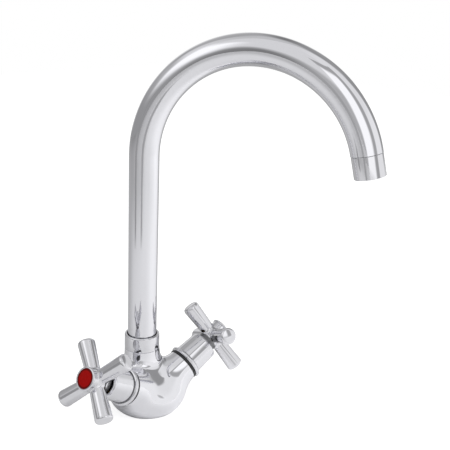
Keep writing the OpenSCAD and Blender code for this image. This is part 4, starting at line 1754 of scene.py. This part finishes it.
@dataclass(frozen=True)
class FloorPatch:
    """A sector of the floor round the tap, painted lighter or darker as light and shade that show
    in the metal.

    Attributes:
        azimuth: Direction of its middle, in degrees from +X towards +Y.
        half_width: Half its width in degrees.
        soft: Width of its soft sides in degrees.
        level: What the floor's colour is multiplied by there.
        start: Distance from the tap at which it starts, in metres.
        full: Distance at which it has its full level.
    """

    azimuth: float
    half_width: float
    soft: float
    level: float
    start: float = -0.02
    full: float = 0.0

    def share(self, at: Shading, xyz: bpy.types.bpy_prop_collection) -> bpy.types.NodeSocket:
        """What the floor's colour is multiplied by.

        Args:
            at: The helper for the floor's nodes.
            xyz: The place on the floor, as three outputs.

        Returns:
            The output that is the level inside the sector and 1 outside, with soft sides.
        """
        x, y = xyz["X"], xyz["Y"]
        inside = at.sector(x, y, self.azimuth, self.half_width, self.soft)
        square = at.math("ADD", at.math("POWER", x, 2.0), at.math("POWER", y, 2.0))
        beyond = at.ramp(at.math("SQRT", square), self.start, self.full - self.start)
        return at.tone(at.product(inside, beyond), self.level)


@dataclass(frozen=True)
class Card:
    """An upright curved card beside the tap, which shows in the metal alone.

    Attributes:
        name: The card's name.
        azimuth: Direction of its middle, in degrees from +X towards +Y.
        half_width: Half its width in degrees.
        radius: Its distance from the tap in metres.
        low: Height of its lower edge in metres.
        high: Height of its upper edge in metres.
        soft: Width of its soft sides in degrees.
        soft_edge: Width of its soft upper and lower edges in metres.
        level: Its brightness.
        steps: How many flat strips it is made of.
    """

    name: str
    azimuth: float
    half_width: float
    radius: float
    low: float
    high: float
    soft: float
    soft_edge: float
    level: float
    steps: int = 32

    def build(self) -> None:
        """Builds the card and its see-through border."""
        reach = self.half_width + self.soft / 2
        turns = np.radians(self.azimuth + np.linspace(-reach, reach, self.steps + 1))
        border = self.soft_edge / 2
        points = [
            (self.radius * math.cos(t), self.radius * math.sin(t), z)
            for z in (self.low - border, self.high + border)
            for t in turns
        ]
        n = self.steps + 1
        mesh = bpy.data.meshes.new(self.name)
        mesh.from_pydata(points, [], [(k, k + 1, n + k + 1, n + k) for k in range(self.steps)])
        mesh.materials.append(self._material())
        obj = add_to_scene(self.name, mesh)
        obj.visible_camera = False
        obj.visible_diffuse = False
        obj.visible_transmission = False
        obj.visible_shadow = False

    def _material(self) -> bpy.types.Material:
        """Makes plain light of the card's level, which fades out at its borders.

        Returns:
            The material.
        """
        mat = bpy.data.materials.new(self.name)
        at = Shading.blank(mat)
        xyz = at.split("Object")
        inside = at.sector(xyz["X"], xyz["Y"], self.azimuth, self.half_width, self.soft)
        upright = at.band(xyz["Z"], self.low, self.high, self.soft_edge)
        glow = at.add("ShaderNodeEmission")
        glow.inputs["Color"].default_value = WHITE
        at.feed(self.level, glow.inputs["Strength"])
        mix = at.add("ShaderNodeMixShader")
        at.feed(at.product(inside, upright), mix.inputs["Fac"])
        at.feed(at.add("ShaderNodeBsdfTransparent").outputs["BSDF"], mix.inputs[1])
        at.feed(glow.outputs["Emission"], mix.inputs[2])
        at.surface(mix.outputs["Shader"])
        return mat


@dataclass(frozen=True)
class Lamp:
    """A soft square lamp that looks at the tap and doesn't show in the metal.

    Attributes:
        name: The lamp's name.
        place: Where it hangs, in metres.
        size: Its side in metres.
        power: Its power in watts.
        aim: The point that it looks at, in metres.
    """

    name: str
    place: tuple[float, float, float]
    size: float
    power: float
    aim: tuple[float, float, float] = (0.0, 0.0, 0.1)

    def build(self) -> None:
        """Builds the lamp."""
        data = bpy.data.lights.new(self.name, "AREA")
        data.size = self.size
        data.energy = self.power
        obj = add_to_scene(self.name, data)
        obj.visible_glossy = False
        look = (Vector(self.aim) - Vector(self.place)).to_track_quat("-Z", "Y")
        obj.matrix_world = Matrix.Translation(self.place) @ look.to_matrix().to_4x4()


@dataclass(frozen=True)
class Studio:
    """A white studio: floor, world light, reflected panels, cards and lamps.

    Attributes:
        floor_size: Side of the square floor in metres; what lies beyond it is the wall.
        ambient: Light of the world on matt surfaces.
        wall: Brightness of the plain wall in the metal.
        floor_colour: How much light the floor gives back in the metal.
        floor_seen: The same where the camera sees it, beside the white that is added there.
        floor_white: The white that is added to the floor in the camera's view.
        patches: The sectors of painted light and painted shade on the floor.
        panels: The far walls and light boxes.
        cards: The cards near the tap.
        lamps: The lamps.
    """

    floor_size: float = 4.0
    ambient: float = 0.50
    wall: float = 0.78
    floor_colour: float = 0.73
    floor_seen: float = 0.45
    floor_white: float = 0.78
    # Sectors of painted light and painted shade on the floor, seen in the metal.
    patches: tuple[FloorPatch, ...] = (
        FloorPatch(-38.0, 42.0, 70.0, 1.22),
        FloorPatch(-75.0, 35.0, 50.0, 0.80, 0.25, 0.80),
        FloorPatch(100.0, 33.0, 60.0, 0.72),
        FloorPatch(32.0, 28.0, 30.0, 0.60),
        FloorPatch(180.0, 55.0, 50.0, 0.72, 0.30, 0.80),
    )
    panels: tuple[Panel, ...] = (
        Panel(138.0, 60.0, -40.0, 15.0, 18.0, 0.44),
        Panel(-146.0, 30.0, -40.0, 20.0, 16.0, 0.64),
        Panel(-58.0, 42.0, -40.0, 27.0, 16.0, 1.22),
        Panel(-56.0, 42.0, 28.0, 76.0, 16.0, 1.10),
        Panel(62.0, 36.0, 26.0, 62.0, 22.0, 0.60),
        Panel(12.0, 30.0, 25.0, 66.0, 22.0, 0.46),
        Panel(105.0, 32.0, 13.0, 32.0, 12.0, 0.64),
        Panel(60.0, 75.0, 54.0, 95.0, 26.0, 0.80),
    )
    cards: tuple[Card, ...] = (
        Card("side_lamp", 158.0, 24.0, 0.52, 0.42, 0.92, 24.0, 0.28, 1.22),
        Card("grey_card", -18.0, 21.0, 0.32, 0.22, 0.46, 8.0, 0.05, 0.33),
        Card("lamp_frame", -92.0, 24.0, 0.40, 0.17, 0.80, 5.0, 0.04, 0.42),
        Card("lamp_face", -97.0, 16.0, 0.36, 0.17, 0.58, 8.0, 0.08, 1.16),
        Card("left_stand", 166.0, 7.0, 0.42, 0.01, 0.30, 8.0, 0.04, 0.34),
        Card("front_stand", -144.0, 6.0, 0.42, 0.01, 0.30, 8.0, 0.04, 0.40),
    )
    lamps: tuple[Lamp, ...] = (
        Lamp("key", (0.9, -1.4, 1.6), 1.7, 40.0),
        Lamp("fill", (-1.5, -0.9, 1.4), 1.3, 13.0),
    )

    def build(self) -> None:
        """Builds everything round the tap."""
        bpy.context.scene.view_settings.view_transform = "Standard"
        self._world()
        self._floor()
        for piece in (*self.cards, *self.lamps):
            piece.build()

    def _world(self) -> None:
        """The world: white in view, panels in reflections, plain light on matt surfaces."""
        world = bpy.data.worlds.new("studio")
        bpy.context.scene.world = world
        at = Shading.blank(world)
        xyz = at.split("Generated")
        level = at.product(self.wall, *(panel.share(at, xyz) for panel in self.panels))
        path = at.add("ShaderNodeLightPath").outputs
        camera, glossy = path["Is Camera Ray"], path["Is Glossy Ray"]
        plain = at.product(at.unless(at.math("ADD", camera, glossy)), self.ambient)
        total = at.math("ADD", at.math("ADD", at.product(glossy, level), camera), plain)
        light = at.add("ShaderNodeBackground")
        light.inputs["Color"].default_value = WHITE
        at.feed(total, light.inputs["Strength"])
        at.surface(light.outputs["Background"], "World")

    def _floor(self) -> None:
        """A plain white floor that keeps a faint shadow of the tap."""
        half = self.floor_size / 2
        mesh = bpy.data.meshes.new("floor")
        corners = [(-half, -half, 0.0), (half, -half, 0.0), (half, half, 0.0), (-half, half, 0.0)]
        mesh.from_pydata(corners, [], [(0, 1, 2, 3)])
        mesh.materials.append(self._floor_material())
        add_to_scene("floor", mesh)

    def _floor_material(self) -> bpy.types.Material:
        """Makes the floor's white, and its painted light and shade that show in the metal.

        Returns:
            The material.
        """
        mat = bpy.data.materials.new("floor_white")
        at = Shading.blank(mat)
        camera = at.add("ShaderNodeLightPath").outputs["Is Camera Ray"]
        xyz = at.split("Object")
        # The floor's colour carries the painted light and shade of the sectors, away from the
        # camera's rays.
        colour = at.product(self.floor_colour, *(patch.share(at, xyz) for patch in self.patches))
        in_metal = at.product(colour, at.unless(camera))
        matt = at.add("ShaderNodeBsdfDiffuse")
        tone = at.math("ADD", in_metal, at.product(camera, self.floor_seen))
        at.feed(tone, matt.inputs["Color"])
        glow = at.add("ShaderNodeEmission")
        at.feed(at.product(camera, self.floor_white), glow.inputs["Strength"])
        both = at.add("ShaderNodeAddShader")
        at.feed(matt.outputs["BSDF"], both.inputs[0])
        at.feed(glow.outputs["Emission"], both.inputs[1])
        at.surface(both.outputs["Shader"])
        return mat


def main() -> None:
    """Builds the tap and its studio, one sub-assembly after another."""
    logging.basicConfig(level=logging.INFO, format="%(name)s: %(message)s")
    Camera().build()
    CastBody().build()
    Collar().build()
    SwanNeck().build()
    OutletCap().build()
    for side in Side:
        Shroud(side).build()
        CrossHandle(side).build()
    InnerPieces().build()
    Studio().build()


if __name__ == "__main__":
    main()
